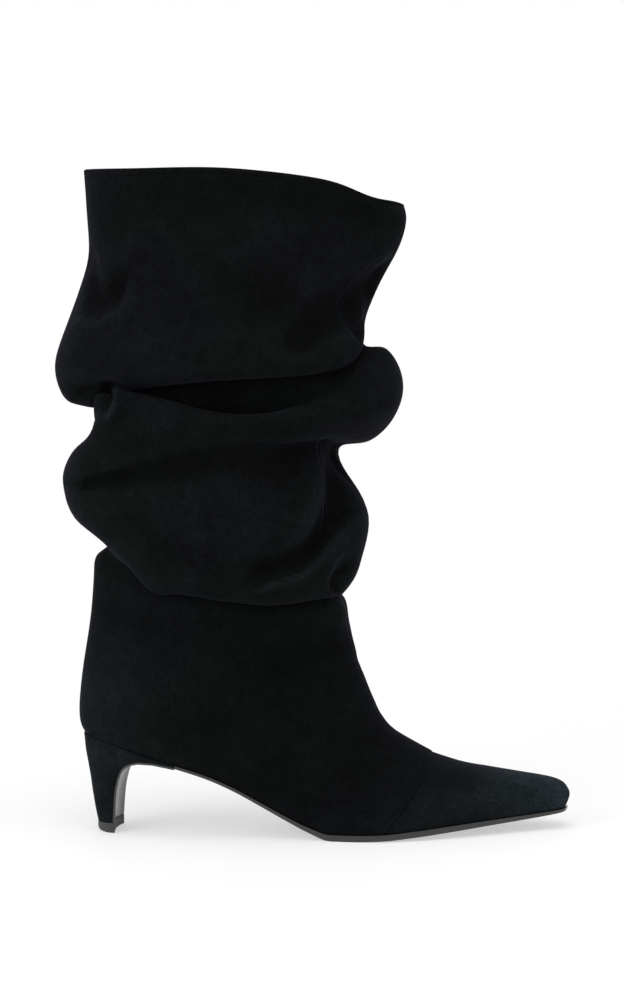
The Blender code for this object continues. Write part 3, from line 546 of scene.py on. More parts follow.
def smooth(x):
    """An even rise from 0 to 1 that starts and ends gently."""
    x = np.clip(x, 0.0, 1.0)
    return x * x * (3 - 2 * x)


# The upper's surface
def section(foot, top, foot_half, width, widest, square, lean):
    """One section of the upper: up the outer side from the foot, over the top, down the
    inner side. A section whose foot_half is 0 is a closed ring."""
    turn = np.linspace(0.0, 2 * math.pi, COLUMNS + 1)
    half_turn = np.minimum(turn, 2 * math.pi - turn)
    low = np.minimum(half_turn / (math.pi / 2), 1.0)
    high = np.maximum(half_turn - math.pi / 2, 0.0)
    start = min(math.asin(min(foot_half / max(width, TINY), 1.0)), STEEPEST)
    angle = start + (math.pi / 2 - start) * low
    low_height = widest * (math.cos(start) - np.cos(angle)) / math.cos(start)
    high_height = widest + (1 - widest) * np.sin(high) ** square
    height = np.where(high > 0, high_height, low_height)
    curve = np.abs(np.cos(high)) ** square
    reach = np.where(high > 0, width * curve, width * np.sin(angle))
    side = np.where(turn > math.pi, 1.0, -1.0)
    points = np.empty((COLUMNS + 1, 3))
    points[:, 0] = foot[0] + (top[0] - foot[0]) * height
    points[:, 2] = foot[1] + (top[1] - foot[1]) * height
    low = np.clip(1 - (points[:, 2] - HEEL_HEIGHT) / ANKLE_RISE, 0, 1)
    points[:, 1] = plan(points[:, 0] / SOLE_LENGTH)[0] * low + lean * height + side * reach
    return points


def above_seam(share):
    """Height at a share of the way from the seam's top to the ankle."""
    seam_top = sole_top(VAMP[-1][0]) + GAP + VAMP_RISE
    return seam_top + share * (HEEL_HEIGHT + ANKLE_RISE - seam_top)


def standing_sections():
    """The sections that stand on the sole, toe to heel."""
    rows = []
    for along in fine_stations()[::-1]:
        table = VAMP if along >= VAMP[-1][0] - TINY else QUARTER
        places = column(table, 0)[::-1]
        ahead, rise, width, widest, square, lean = (
            float(hermite(places, column(table, i)[::-1], along)) for i in range(1, 7)
        )
        half = float(plan(along)[1])
        foot_x = FEATHER_INSET + along * (SOLE_LENGTH - 2 * FEATHER_INSET)
        foot_z = float(sole_top(along)) + GAP
        height = foot_z + rise * VAMP_RISE if table is VAMP else above_seam(rise)
        rows.append(
            section(
                (foot_x, foot_z),
                (foot_x + ahead * SOLE_LENGTH, height),
                max(half - FEATHER_INSET, 0.0),
                width * BALL_WIDTH,
                widest,
                square,
                lean * BALL_WIDTH,
            )
        )
    return rows


def counter_rings():
    """The closed rings round the heel counter, up to the ankle."""
    rows = []
    for back_x, back_z, front_x, front_z, width, widest in COUNTER:
        back = (back_x * SOLE_LENGTH, HEEL_HEIGHT + back_z * ANKLE_RISE)
        front = (front_x * SOLE_LENGTH, above_seam(front_z))
        rows.append(section(back, front, 0.0, width * BALL_WIDTH, widest, 1.0, 0.0))
    return rows


def around(values, turn):
    """Smooth closed curve through values at equal turns, read at the given turns."""
    count = len(values)
    place = turn / (2 * math.pi) * count
    i = np.floor(place).astype(int)
    t = place - i
    before, here, after, beyond = (
        np.asarray(values, float)[(i + k) % count] for k in (-1, 0, 1, 2)
    )
    square = 2 * before - 5 * here + 4 * after - beyond
    cube = 3 * (here - after) + beyond - before
    return here + 0.5 * t * (after - before + t * (square + t * cube))


def shaft_rings():
    """A closed ring for each fold line of the slouched shaft."""
    turn = np.linspace(0.0, 2 * math.pi, COLUMNS + 1)
    ankle = HEEL_HEIGHT + ANKLE_RISE
    rows = []
    for name in FOLD_NAMES:
        height = around(FOLD_HEIGHT[name], turn)
        reach = around(FOLD_REACH[name], turn)
        for line, place, spread, lift, push in DENTS:
            if line == name:
                away = (np.degrees(turn) - place + 180) % 360 - 180
                near = np.exp(-((away / spread) ** 2))
                height = height + lift * near
                reach = reach + push * near
        ring = np.empty((COLUMNS + 1, 3))
        ring[:, 0] = ANKLE_CENTRE - ANKLE_LENGTH * reach * np.cos(turn)
        ring[:, 1] = -ANKLE_WIDTH * reach * np.sin(turn)
        ring[:, 2] = ankle + SHAFT_RISE * height
        rows.append(ring)
    return rows


def loft(rings, cuts):
    """Rings between the given ones, on a smooth curve along each column. cuts holds the
    number of steps from each ring to the next."""
    first = 2 * rings[0] - rings[1]
    last = 2 * rings[-1] - rings[-2]
    line = [first, *rings, last]
    made = [rings[0]]
    for i, steps in enumerate(cuts):
        a, b, c, d = line[i : i + 4]
        knot = [np.zeros(len(a))]
        for p, q in ((a, b), (b, c), (c, d)):
            knot.append(knot[-1] + np.maximum(np.linalg.norm(q - p, axis=1), TINY) ** 0.5)
        t0, t1, t2, t3 = (k[:, None] for k in knot)
        for step in range(1, steps + 1):
            t = t1 + (t2 - t1) * step / steps
            ab = (t1 - t) / (t1 - t0) * a + (t - t0) / (t1 - t0) * b
            bc = (t2 - t) / (t2 - t1) * b + (t - t1) / (t2 - t1) * c
            cd = (t3 - t) / (t3 - t2) * c + (t - t2) / (t3 - t2) * d
            abc = (t2 - t) / (t2 - t0) * ab + (t - t0) / (t2 - t0) * bc
            bcd = (t3 - t) / (t3 - t1) * bc + (t - t1) / (t3 - t1) * cd
            made.append((t2 - t) / (t2 - t1) * abc + (t - t1) / (t2 - t1) * bcd)
    return made


def outward(grid, closed):
    """Unit normals away from the boot's inside. Rings from number closed on are closed. The
    steps before and after a row count alike, so that a sharp tuck keeps its wall."""
    step = np.diff(grid, axis=0)
    step /= np.maximum(np.linalg.norm(step, axis=2, keepdims=True), TINY)
    along = np.concatenate([step[:1], step]) + np.concatenate([step, step[-1:]])
    across = np.gradient(grid, axis=1)
    wrapped = (grid[closed:, 1] - grid[closed:, -2]) / 2
    across[closed:, 0] = wrapped
    across[closed:, -1] = wrapped
    normal = np.cross(across, along)
    normal[0] = normal[1].mean(axis=0)
    return normal / np.linalg.norm(normal, axis=2, keepdims=True)


def line_gap(points, line):
    """Distance of points from a line, how far along it they lie, and, where the points are
    those of the side view, whether they lie on its left."""
    best = np.full(points.shape[:-1], 1.0)
    along = np.zeros(best.shape)
    left = np.zeros(best.shape, bool)
    run = 0.0
    for start, end in zip(line, line[1:]):
        step = end - start
        length = np.linalg.norm(step)
        if length < TINY:
            continue
        t = np.clip((points - start) @ step / length**2, 0, 1)
        away = points - start - t[..., None] * step
        gap = np.linalg.norm(away, axis=-1)
        near = gap < best
        best = np.where(near, gap, best)
        along = np.where(near, run + t * length, along)
        left = np.where(near, step[0] * away[..., -1] > step[-1] * away[..., 0], left)
        run += length
    return best, along, left


def crease_field(sheet, levels, creases, outer):
    """How far the creases of one side push each point of the sheet, metres."""
    turn = np.linspace(0.0, 2 * math.pi, COLUMNS + 1)
    facing = smooth(np.sin(turn) * (1 if outer else -1) / SIDE_FADE + SIDE_START)
    push = np.zeros(sheet.shape[:2])
    for first, last, depth, left, right, line in creases:
        low, high = FOLD_NAMES.index(first), FOLD_NAMES.index(last)
        inside = smooth((levels - low + 0.5) / 0.5) * smooth((high + 0.5 - levels) / 0.5)
        rows = inside > 0
        drawn = np.array(line) * (SOLE_LENGTH, BOOT_HEIGHT)
        gap, _, on_left = line_gap(sheet[rows][:, :, ::2], drawn)
        reach = np.where(on_left, left, right) / 1000
        push[rows] += (
            depth / 1000 * np.exp(-((gap / reach) ** 2)) * facing[None] * inside[rows][:, None]
        )
    return push


def upper_sheets():
    """The outer sheet and the lining as grids of points, with the rows' levels."""
    standing = standing_sections()
    shaft = shaft_rings()
    cuts = [STATION_CUTS] * len(COUNTER) + [STATION_CUTS] + [FOLD_CUTS] * (len(shaft) - 1)
    upper_part = loft([standing[-1], *counter_rings(), *shaft], cuts)
    sheet = np.array(standing + upper_part[1:])
    closed = len(standing) - 1
    levels = np.full(len(sheet), BELOW_FOLDS)
    first = len(sheet) - 1 - FOLD_CUTS * (len(shaft) - 1)
    levels[first:] = np.arange(len(sheet) - first) / FOLD_CUTS
    normal = outward(sheet, closed)
    push = crease_field(sheet, levels, CREASES, True)
    push += crease_field(sheet, levels, INNER_CREASES, False)
    push = DEEPEST * np.tanh(push / DEEPEST)
    top = smooth(levels - FOLD_NAMES.index("high_waist"))[:, None]
    rise = smooth((sheet[:, :, 2] - HEEL_HEIGHT) / WAVES_FULL)
    rise = rise * (1 - (1 - WAVES_AT_COLLAR) * top)
    for height, length, x, y, z in WAVES:
        phase = (sheet @ np.array([x, y, z])) * 2 * math.pi * 1000 / length
        push += height / 1000 * np.sin(phase + height * 9) * rise
    moved = sheet + push[:, :, None] * normal
    moved[closed:, -1] = moved[closed:, 0]
    inner = sheet + (np.minimum(push, 0.0) - UPPER_WALL)[:, :, None] * normal
    inner[closed:, -1] = inner[closed:, 0]
    return moved, inner, closed, levels


def soften(grid, closed, rounds):
    """Relaxes the rings a little, so that creases have cloth's roundness."""
    for _ in range(rounds):
        body = grid[closed:, :-1]
        mean = (np.roll(body, 1, axis=1) + np.roll(body, -1, axis=1)) / 2
        rows = body.copy()
        rows[1:-1] = (body[2:] + body[:-2]) / 2
        body = body + 0.5 * ((mean + rows) / 2 - body)
        body[0] = grid[closed, :-1]
        body[-1] = grid[-1, :-1]
        grid = grid.copy()
        grid[closed:, :-1] = body
        grid[closed:, -1] = body[:, 0]
    return grid


# Meshes
def grid_faces(rows, columns, first=0):
    """Quads of a grid whose points are numbered row by row."""
    r, c = np.meshgrid(np.arange(rows - 1), np.arange(columns - 1), indexing="ij")
    a = (first + r * columns + c).ravel()
    return np.stack([a, a + columns, a + columns + 1, a + 1], axis=1).tolist()


def mesh_piece(name, vertices, faces, material, weld=TINY, facts=None):
    """A smooth piece from points and faces in the boot's axes, with named facts per point."""
    mesh = bpy.data.meshes.new(name)
    mesh.from_pydata((np.asarray(vertices) + ORIGIN).tolist(), [], faces)
    for fact, values in (facts or {}).items():
        told = mesh.attributes.new(fact, "FLOAT", "POINT")
        told.data.foreach_set("value", np.asarray(values, np.float32))
    work = bmesh.new()
    work.from_mesh(mesh)
    bmesh.ops.remove_doubles(work, verts=work.verts, dist=weld)
    bmesh.ops.dissolve_degenerate(work, edges=work.edges, dist=weld)
    bmesh.ops.recalc_face_normals(work, faces=work.faces)
    work.to_mesh(mesh)
    work.free()
    mesh.shade_smooth()
    piece = bpy.data.objects.new(name, mesh)
    bpy.context.scene.collection.objects.link(piece)
    mesh.materials.append(material)
    return piece


def belongs(piece, node):
    """The piece hangs from the root body in place of that CAD node, which is hidden."""
    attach(piece, "root")
    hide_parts(node)


def slab(name, upper, lower, material):
    """A closed piece between two grids of points of the same size."""
    rows, columns = upper.shape[:2]
    count = rows * columns
    faces = grid_faces(rows, columns) + grid_faces(rows, columns, count)
    edge = (
        [(r, 0) for r in range(rows)]
        + [(rows - 1, c) for c in range(1, columns)]
        + [(r, columns - 1) for r in range(rows - 2, -1, -1)]
        + [(0, c) for c in range(columns - 2, 0, -1)]
    )
    rim = [r * columns + c for r, c in edge]
    for a, b in zip(rim, rim[1:] + rim[:1]):
        faces.append((b, a, a + count, b + count))
    points = np.concatenate([upper.reshape(-1, 3), lower.reshape(-1, 3)])
    return mesh_piece(name, points, faces, material)


def soften_edges(piece, width):
    """Rounds a piece's sharp edges."""
    bevel = piece.modifiers.new("soft edges", "BEVEL")
    bevel.width = width
    bevel.segments = 3
    bevel.limit_method = "ANGLE"
    bevel.angle_limit = EDGE_ANGLE


# The heel, as in the part
def tip_front():
    return TIP_BACK + TIP_LENGTH


def above_top_piece(share):
    low = TOP_PIECE_HEIGHT + GAP
    return low + share * (HEEL_HEIGHT - low)


def twist(points, share):
    """Turns points about the heel tip's upright axis, by a share of HEEL_TWIST."""
    angle = HEEL_TWIST * share
    about = np.array([TIP_BACK + TIP_LENGTH / 2, TIP_CENTRE_Y])
    turned = points.copy()
    flat = points[..., :2] - about
    turned[..., 0] = about[0] + flat[..., 0] * math.cos(angle) - flat[..., 1] * math.sin(angle)
    turned[..., 1] = about[1] + flat[..., 0] * math.sin(angle) + flat[..., 1] * math.cos(angle)
    return turned


def heel_table():
    """The heel's rows cut finely: places on the breast line, back, widths and shares."""
    rows = []
    for forward, height, *rest in STEM:
        rows.append((tip_front() + forward * HEEL_HEIGHT, above_top_piece(height), *rest))
    for forward, thick, *rest in LIP:
        x = tip_front() + forward * HEEL_HEIGHT
        rows.append((x, float(sole_top(x / SOLE_LENGTH)) - thick * HEEL_LIP, *rest))
    rows = np.array(rows)
    at = np.linspace(0, len(rows) - 1, (len(rows) - 1) * HEEL_CUTS + 1)
    return np.stack([hermite(range(len(rows)), rows[:, i], at) for i in range(7)], axis=1)


def heel_half(row):
    """Centre and half width of one row of the heel."""
    share = row[6]
    middle, wide = plan(row[0] / SOLE_LENGTH)
    centre = TIP_CENTRE_Y + (middle - TIP_CENTRE_Y) * share
    return centre, row[4] * TIP_WIDTH + (wide - row[4] * TIP_WIDTH) * share


def breast_strip(away):
    """Points across the breast and under the lip, moved away from the heel by that much."""
    rows = heel_table()
    run = np.gradient(rows[:, :2], axis=0)
    normals = np.stack([run[:, 1], -run[:, 0]], axis=1)
    normals /= np.linalg.norm(normals, axis=1, keepdims=True)
    across = np.linspace(-1.0, 1.0, SOLE_ACROSS + 1)
    strip = np.empty((len(rows), len(across), 3))
    for i, row in enumerate(rows):
        centre, half = heel_half(row)
        out = away - row[5] * BREAST_HOLLOW * (1 - across**2)
        strip[i, :, 0] = row[0] + normals[i, 0] * out
        strip[i, :, 1] = centre + half * across
        strip[i, :, 2] = row[1] + normals[i, 1] * out
        strip[i] = twist(strip[i], 1 - row[6])
    return strip


def heel_back(row, turn):
    """The back and the sides of one row of the heel."""
    centre, half = heel_half(row)
    share = row[6]
    back_x, back_z = row[2] * TIP_BACK, above_top_piece(row[3])
    bow = np.abs(np.cos(turn)) ** HEEL_SQUARE
    arc = np.empty((len(turn), 3))
    arc[:, 0] = row[0] + (back_x - row[0]) * bow
    middle, wide = plan(arc[:, 0] / SOLE_LENGTH)
    own = centre + half * np.sign(np.sin(turn)) * np.abs(np.sin(turn)) ** HEEL_SQUARE
    arc[:, 1] = own + (middle + wide * np.sign(np.sin(turn)) - own) * share
    front_drop = sole_top(row[0] / SOLE_LENGTH) - row[1]
    back_drop = sole_top(back_x / SOLE_LENGTH) - back_z
    arc[:, 2] = sole_top(arc[:, 0] / SOLE_LENGTH) - front_drop - (back_drop - front_drop) * bow
    return twist(arc, 1 - share)


def back_turns():
    return np.linspace(-math.pi / 2, math.pi / 2, HEEL_ROUND + 1)[1:-1]


def ringed_piece(name, rings, arc_count, material):
    """A closed piece from equal rings: points round the back, then points across the front."""
    count = len(rings[0])
    faces = []
    for r in range(len(rings) - 1):
        for c in range(count):
            after = (c + 1) % count
            low, high = r * count, (r + 1) * count
            faces.append((low + c, high + c, high + after, low + after))
    for base in (0, (len(rings) - 1) * count):
        cap = []
        for c in range(arc_count // 2):
            partner = arc_count - 1 - c
            if partner - c > 2:
                cap.append((c, c + 1, partner - 1, partner))
            elif partner - c == 2:
                cap.append((c, c + 1, partner))
        cap.append(tuple([arc_count - 1, *range(arc_count, count), 0]))
        for face in cap:
            faces.append(tuple(base + c for c in face))
    return mesh_piece(name, np.concatenate(rings), faces, material)


# Materials
class Nodes:
    """A material's node tree, with short calls to add and join nodes."""

    def __init__(self, name):
        self.material = bpy.data.materials.new(name)
        self.material.use_nodes = True
        self.tree = self.material.node_tree
        self.shader = self.tree.nodes["Principled BSDF"]

    def put(self, socket, value):
        """Joins another node's output to a socket, or sets the socket to a plain value."""
        if isinstance(value, bpy.types.NodeSocket):
            self.tree.links.new(value, socket)
        elif socket.type == "RGBA":
            socket.default_value = (*value[:3], 1.0)
        else:
            socket.default_value = value

    def add(self, kind, **values):
        """Adds a node and gives it its properties and its named sockets."""
        node = self.tree.nodes.new(kind)
        for key, value in values.items():
            if hasattr(node, key):
                setattr(node, key, value)
            else:
                self.put(node.inputs[key.replace("_", " ")], value)
        return node

    def finish(self, **values):
        """Gives the shader its sockets."""
        for key, value in values.items():
            self.put(self.shader.inputs[key.replace("_", " ")], value)

    def surface(self, out):
        self.put(self.tree.nodes["Material Output"].inputs["Surface"], out)

    def maths(self, operation, *values):
        node = self.add("ShaderNodeMath", operation=operation)
        for socket, value in zip(node.inputs, values):
            self.put(socket, value)
        return node.outputs[0]

    def place(self):
        return self.add("ShaderNodeTexCoord").outputs["Object"]

    def noise(self, scale, detail, rough, stretch=None):
        place = self.place()
        if stretch:
            place = self.add("ShaderNodeMapping", Vector=place, Scale=stretch).outputs["Vector"]
        node = self.add("ShaderNodeTexNoise", Vector=place, Scale=scale, Detail=detail)
        node.inputs["Roughness"].default_value = rough
        return node.outputs["Fac"]

    def fact(self, name):
        return self.add("ShaderNodeAttribute", attribute_name=name).outputs["Fac"]

    def spread(self, value, low, high, to_low, to_high):
        node = self.add(
            "ShaderNodeMapRange", Value=value,
            From_Min=low, From_Max=high, To_Min=to_low, To_Max=to_high,
        )
        return node.outputs["Result"]

    def mix(self, share, first, second):
        node = self.add("ShaderNodeMix", data_type="RGBA")
        for number, value in ((0, share), (6, first), (7, second)):
            self.put(node.inputs[number], value)
        return node.outputs[2]

    def shades(self, noise, colour, dark, painted_highlight):
        """A colour that goes with the noise from a darker to a paler shade."""
        darker, paler = (tuple(part * share for part in colour) for share in (dark, painted_highlight))
        return self.mix(self.spread(noise, 0.35, 0.7, 0.0, 1.0), darker, paler)

    def bump(self, height, distance, strength=1.0, over=None):
        node = self.add("ShaderNodeBump", Height=height, Distance=distance, Strength=strength)
        if over is not None:
            self.put(node.inputs["Normal"], over)
        return node.outputs["Normal"]


def suede(name, settings, seams):
    """Black suede: a mottled nap, lighter where it is brushed, with painted shade in creases and
    painted highlight on ridges, edges of folds, the toe, the vamp and the heel.
    """
    n = Nodes(name)
    layers = {}
    light = None
    for layer, (scale, detail, rough, low, high, darkest, palest) in NAP.items():
        layers[layer] = n.noise(scale, detail, rough, BRUSH_STRETCH if layer == "brushed" else None)
        shade = n.spread(layers[layer], low, high, darkest, palest)
        light = shade if light is None else n.maths("MULTIPLY", light, shade)
    if seams:
        # painted shade darkens the nap in creases and painted highlight lightens it on ridges
        light = n.maths("MULTIPLY", light, n.spread(n.fact("painted_fold_shading"), -1.0, 1.0, 0.60, 1.12))
        # share of painted highlight over the toe, the vamp and the heel counter, and on the edges
        # of folds
        highlight_share = n.maths("ADD", n.fact("painted_highlight"), n.spread(n.fact("edge"), 0.5, 1.0, 0.0, 0.13))
    else:
        # the heel takes an even share of painted highlight
        highlight_share = HEEL_HIGHLIGHT
    cast = n.spread(n.noise(11.0, 2.0, 0.5), 0.40, 0.62, 0.0, 0.5)
    tone = n.mix(cast, tuple(settings.colour), tuple(settings.cast))
    # mixes in the paler colour of the painted highlight
    tone = n.mix(highlight_share, tone, tuple(settings.highlight_colour))
    scaled = n.add("ShaderNodeVectorMath", operation="SCALE", Scale=light)
    n.put(scaled.inputs[0], tone)
    normal = n.bump(layers["grain"], GRAIN_DEPTH, GRAIN_STRENGTH)
    normal = n.bump(layers["brushed"], BRUSH_DEPTH, BRUSH_STRENGTH, over=normal)
    if seams:
        gap = n.fact("seam_gap")
        groove = n.spread(gap, 0.0, GROOVE, 0.0, 1.0)
        normal = n.bump(groove, GROOVE_DEPTH, over=normal)
        across = n.maths("ABSOLUTE", n.maths("SUBTRACT", gap, STITCH_AWAY))
        place = n.maths("FRACT", n.maths("DIVIDE", n.fact("seam_run"), STITCH_PITCH))
        along = n.maths("ABSOLUTE", n.maths("SUBTRACT", place, 0.5))
        wide = n.spread(across, STITCH_FULL_WIDE, STITCH_WIDE, 1.0, 0.0)
        long = n.spread(along, STITCH_FULL_LONG, STITCH_LONG, 1.0, 0.0)
        normal = n.bump(n.maths("MULTIPLY", wide, long), STITCH_RISE, over=normal)
    n.finish(
        Base_Color=scaled.outputs[0],
        Roughness=0.95,
        Specular_IOR_Level=0.05,
        Sheen_Weight=settings.sheen,
        Sheen_Roughness=0.34,
        Sheen_Tint=(0.50, 0.56, 1.0),
        Normal=normal,
    )
    return n.material


def leather(name, colour, rough, shine, coat=0.0):
    """Smooth finished leather with a fine grain and faint wear."""
    n = Nodes(name)
    wear = n.noise(60.0, 4.0, 0.6)
    n.finish(
        Base_Color=n.shades(wear, colour, 0.85, 1.25),
        Roughness=n.spread(wear, 0.3, 0.7, rough - 0.06, rough + 0.10),
        Specular_IOR_Level=shine,
        Coat_Weight=coat,
        Coat_Roughness=0.18,
        Normal=n.bump(n.noise(900.0, 3.0, 0.6), 0.00006, 0.6),
    )
    return n.material


def rubber(name, colour):
    """Matt rubber with a little dust."""
    n = Nodes(name)
    dust = n.noise(300.0, 4.0, 0.6)
    n.finish(
        Base_Color=n.shades(dust, colour, 1.0, 1.5),
        Roughness=0.6,
        Normal=n.bump(dust, 0.00008, 0.5),
    )
    return n.material


def white_glow(name):
    """A plain white that shines by itself, and its node tree."""
    n = Nodes(name)
    glow = n.add("ShaderNodeEmission", Strength=1.0).outputs[0]
    n.surface(glow)
    return n, glow


# Settings
class BootSuede(bpy.types.PropertyGroup):
    colour: bpy.props.FloatVectorProperty(
        name="Suede", description="Base colour of the suede", subtype="COLOR", size=3,
        min=0.0, max=1.0, default=(0.0033, 0.0040, 0.0039),
    )
    cast: bpy.props.FloatVectorProperty(
        name="Cast", description="Bluer colour that the suede takes in large soft areas",
        subtype="COLOR", size=3, min=0.0, max=1.0, default=(0.0036, 0.0038, 0.0050),
    )
    # Painted highlight: the paler colour mixed into the suede over the toe, the vamp, the heel and
    # on the edges of folds
    highlight_colour: bpy.props.FloatVectorProperty(
        name="Bloom", description="Paler colour of the nap towards the toe and on the heel",
        subtype="COLOR", size=3, min=0.0, max=1.0, default=(0.0150, 0.0215, 0.0250),
    )
    sheen: bpy.props.FloatProperty(
        name="Nap", description="How strongly the nap catches light at grazing angles",
        subtype="FACTOR", min=0.0, max=1.0, default=0.042,
    )
    relax: bpy.props.IntProperty(
        name="Softness", description="Rounds of smoothing over the creases",
        min=0, max=20, default=3,
    )


class BootSole(bpy.types.PropertyGroup):
    colour: bpy.props.FloatVectorProperty(
        name="Sole", description="Colour of the sole, its edge and the breast", subtype="COLOR",
        size=3, min=0.0, max=1.0, default=(0.012, 0.012, 0.013),
    )
    lift: bpy.props.FloatVectorProperty(
        name="Top piece", description="Colour of the rubber top piece", subtype="COLOR",
        size=3, min=0.0, max=1.0, default=(0.022, 0.023, 0.025),
    )
    lining: bpy.props.FloatVectorProperty(
        name="Lining", description="Colour of the lining and the sock", subtype="COLOR",
        size=3, min=0.0, max=1.0, default=(0.0060, 0.0056, 0.0054),
    )
    edge: bpy.props.FloatProperty(
        name="Edge", description="Radius of the sole's edges", subtype="DISTANCE", unit="LENGTH",
        min=0.0, max=0.001, default=0.00035,
    )


class BootStage(bpy.types.PropertyGroup):
    light: bpy.props.FloatProperty(
        name="Light", description="Strength of the studio light", min=0.0, max=10.0, default=1.0,
    )
    floor: bpy.props.FloatProperty(
        name="Clear floor", description="How far the floor shows shadows round the boot",
        subtype="DISTANCE", unit="LENGTH", min=0.1, max=3.0, default=0.32,
    )


# The suede's seams and folds, its painted shade and highlight, and its lining
def seam_row():
    """Number of the row on which the vamp seam lies."""
    return int(np.argmin(np.abs(fine_stations()[::-1] - VAMP[-1][0])))


def seam_lines(grid, levels):
    """Lines of the vamp seam, the shaft's front and back seams and the collar's stitching."""
    known = [FOLD_NAMES.index(name) for name in SEAM_TURN]
    rows = np.arange(seam_row(), len(grid))
    lines = [grid[seam_row()]]
    for which in (0, 1):
        turns = np.array([SEAM_TURN[name][which] for name in SEAM_TURN], float)
        turn = np.interp(levels, known, turns) / 360 * COLUMNS
        place = COLUMNS / 2 - turn if which == 0 else turn
        if which == 1:
            rows = np.arange(len(fine_stations()) - 1, len(grid))
        low = np.floor(place[rows]).astype(int)
        part = (place[rows] - low)[:, None]
        line = grid[rows, low] * (1 - part) + grid[rows, np.minimum(low + 1, COLUMNS)] * part
        below = levels[rows] < FOLD_NAMES.index("low_under")
        above = levels[rows] > FOLD_NAMES.index("low_full") + SEAM_HIDDEN
        lines += [line[below], line[above]]
    lines.append(grid[-3])
    return lines


# Read for the painted shade in creases and the painted highlight on ridges and fold edges
def fold_sign(grid, closed, reach, full):
    """How far each point stands out of, or lies in, the surface within reach, from -1 to 1."""
    padded = np.concatenate([grid[:, -1 - reach : -1], grid, grid[:, 1 : 1 + reach]], axis=1)
    across = (padded[:, 2 * reach :] + padded[:, : -2 * reach]) / 2
    rows = np.arange(len(grid))
    up = grid[np.minimum(rows + reach, len(grid) - 1)]
    down = grid[np.maximum(rows - reach, 0)]
    bend = (up + down) / 2 - grid
    bend[:reach] = 0
    bend[-reach:] = 0
    side = across - grid
    side[:closed, : reach + 1] = 0
    side[:closed, -reach - 1 :] = 0
    normal = outward(grid, closed)
    return np.clip(-((bend + side) * normal).sum(axis=2) / full, -1, 1)


def inside_of(shell, grid):
    """The lining's points, drawn back where a fold would let them through the suede."""
    tree = BVHTree.FromPolygons(
        [vertex.co for vertex in shell.data.vertices],
        [face.vertices for face in shell.data.polygons],
    )
    drawn = grid.copy()
    for place in np.ndindex(grid.shape[:2]):
        point = Vector(grid[place] + ORIGIN)
        near, normal, _, _ = tree.find_nearest(point)
        if (point - near).dot(normal) > -LINING_DEPTH:
            drawn[place] = np.array(near - normal * LINING_DEPTH) - ORIGIN
    drawn[:, -1] = np.where(np.isclose(grid[:, -1], grid[:, 0]), drawn[:, 0], drawn[:, -1])
    return drawn


def seam_facts(flat, lines):
    """How far each point is from the nearest seam, and how far along that seam, millimetres."""
    gap = np.full(len(flat), 1.0)
    run = np.zeros(len(flat))
    for line in lines:
        near, along, _ = line_gap(flat, line)
        closer = near < gap
        gap[closer] = near[closer]
        run[closer] = along[closer]
    return np.minimum(gap * 1000, SEAM_FAR), run * 1000


def painted_highlight_share(outer):
    """Painted highlight at each point, which makes the nap paler: ahead of the heel, on the vamp
    and over the toe.
    """
    seam = seam_row()
    behind = smooth(1 - outer[:, :, 0] / (COUNTER_END * SOLE_LENGTH))
    fade = COUNTER_HIGH - COUNTER_LOW
    low = smooth((COUNTER_HIGH - outer[:, :, 2] / HEEL_HEIGHT) / fade)
    painted_highlight = COUNTER_HIGHLIGHT * behind * low
    forward = smooth((outer[: seam + 1, :, 0] / SOLE_LENGTH - TOE_START) / TOE_RUN)
    painted_highlight[: seam + 1] = VAMP_HIGHLIGHT + TIP_HIGHLIGHT * forward
    return painted_highlight


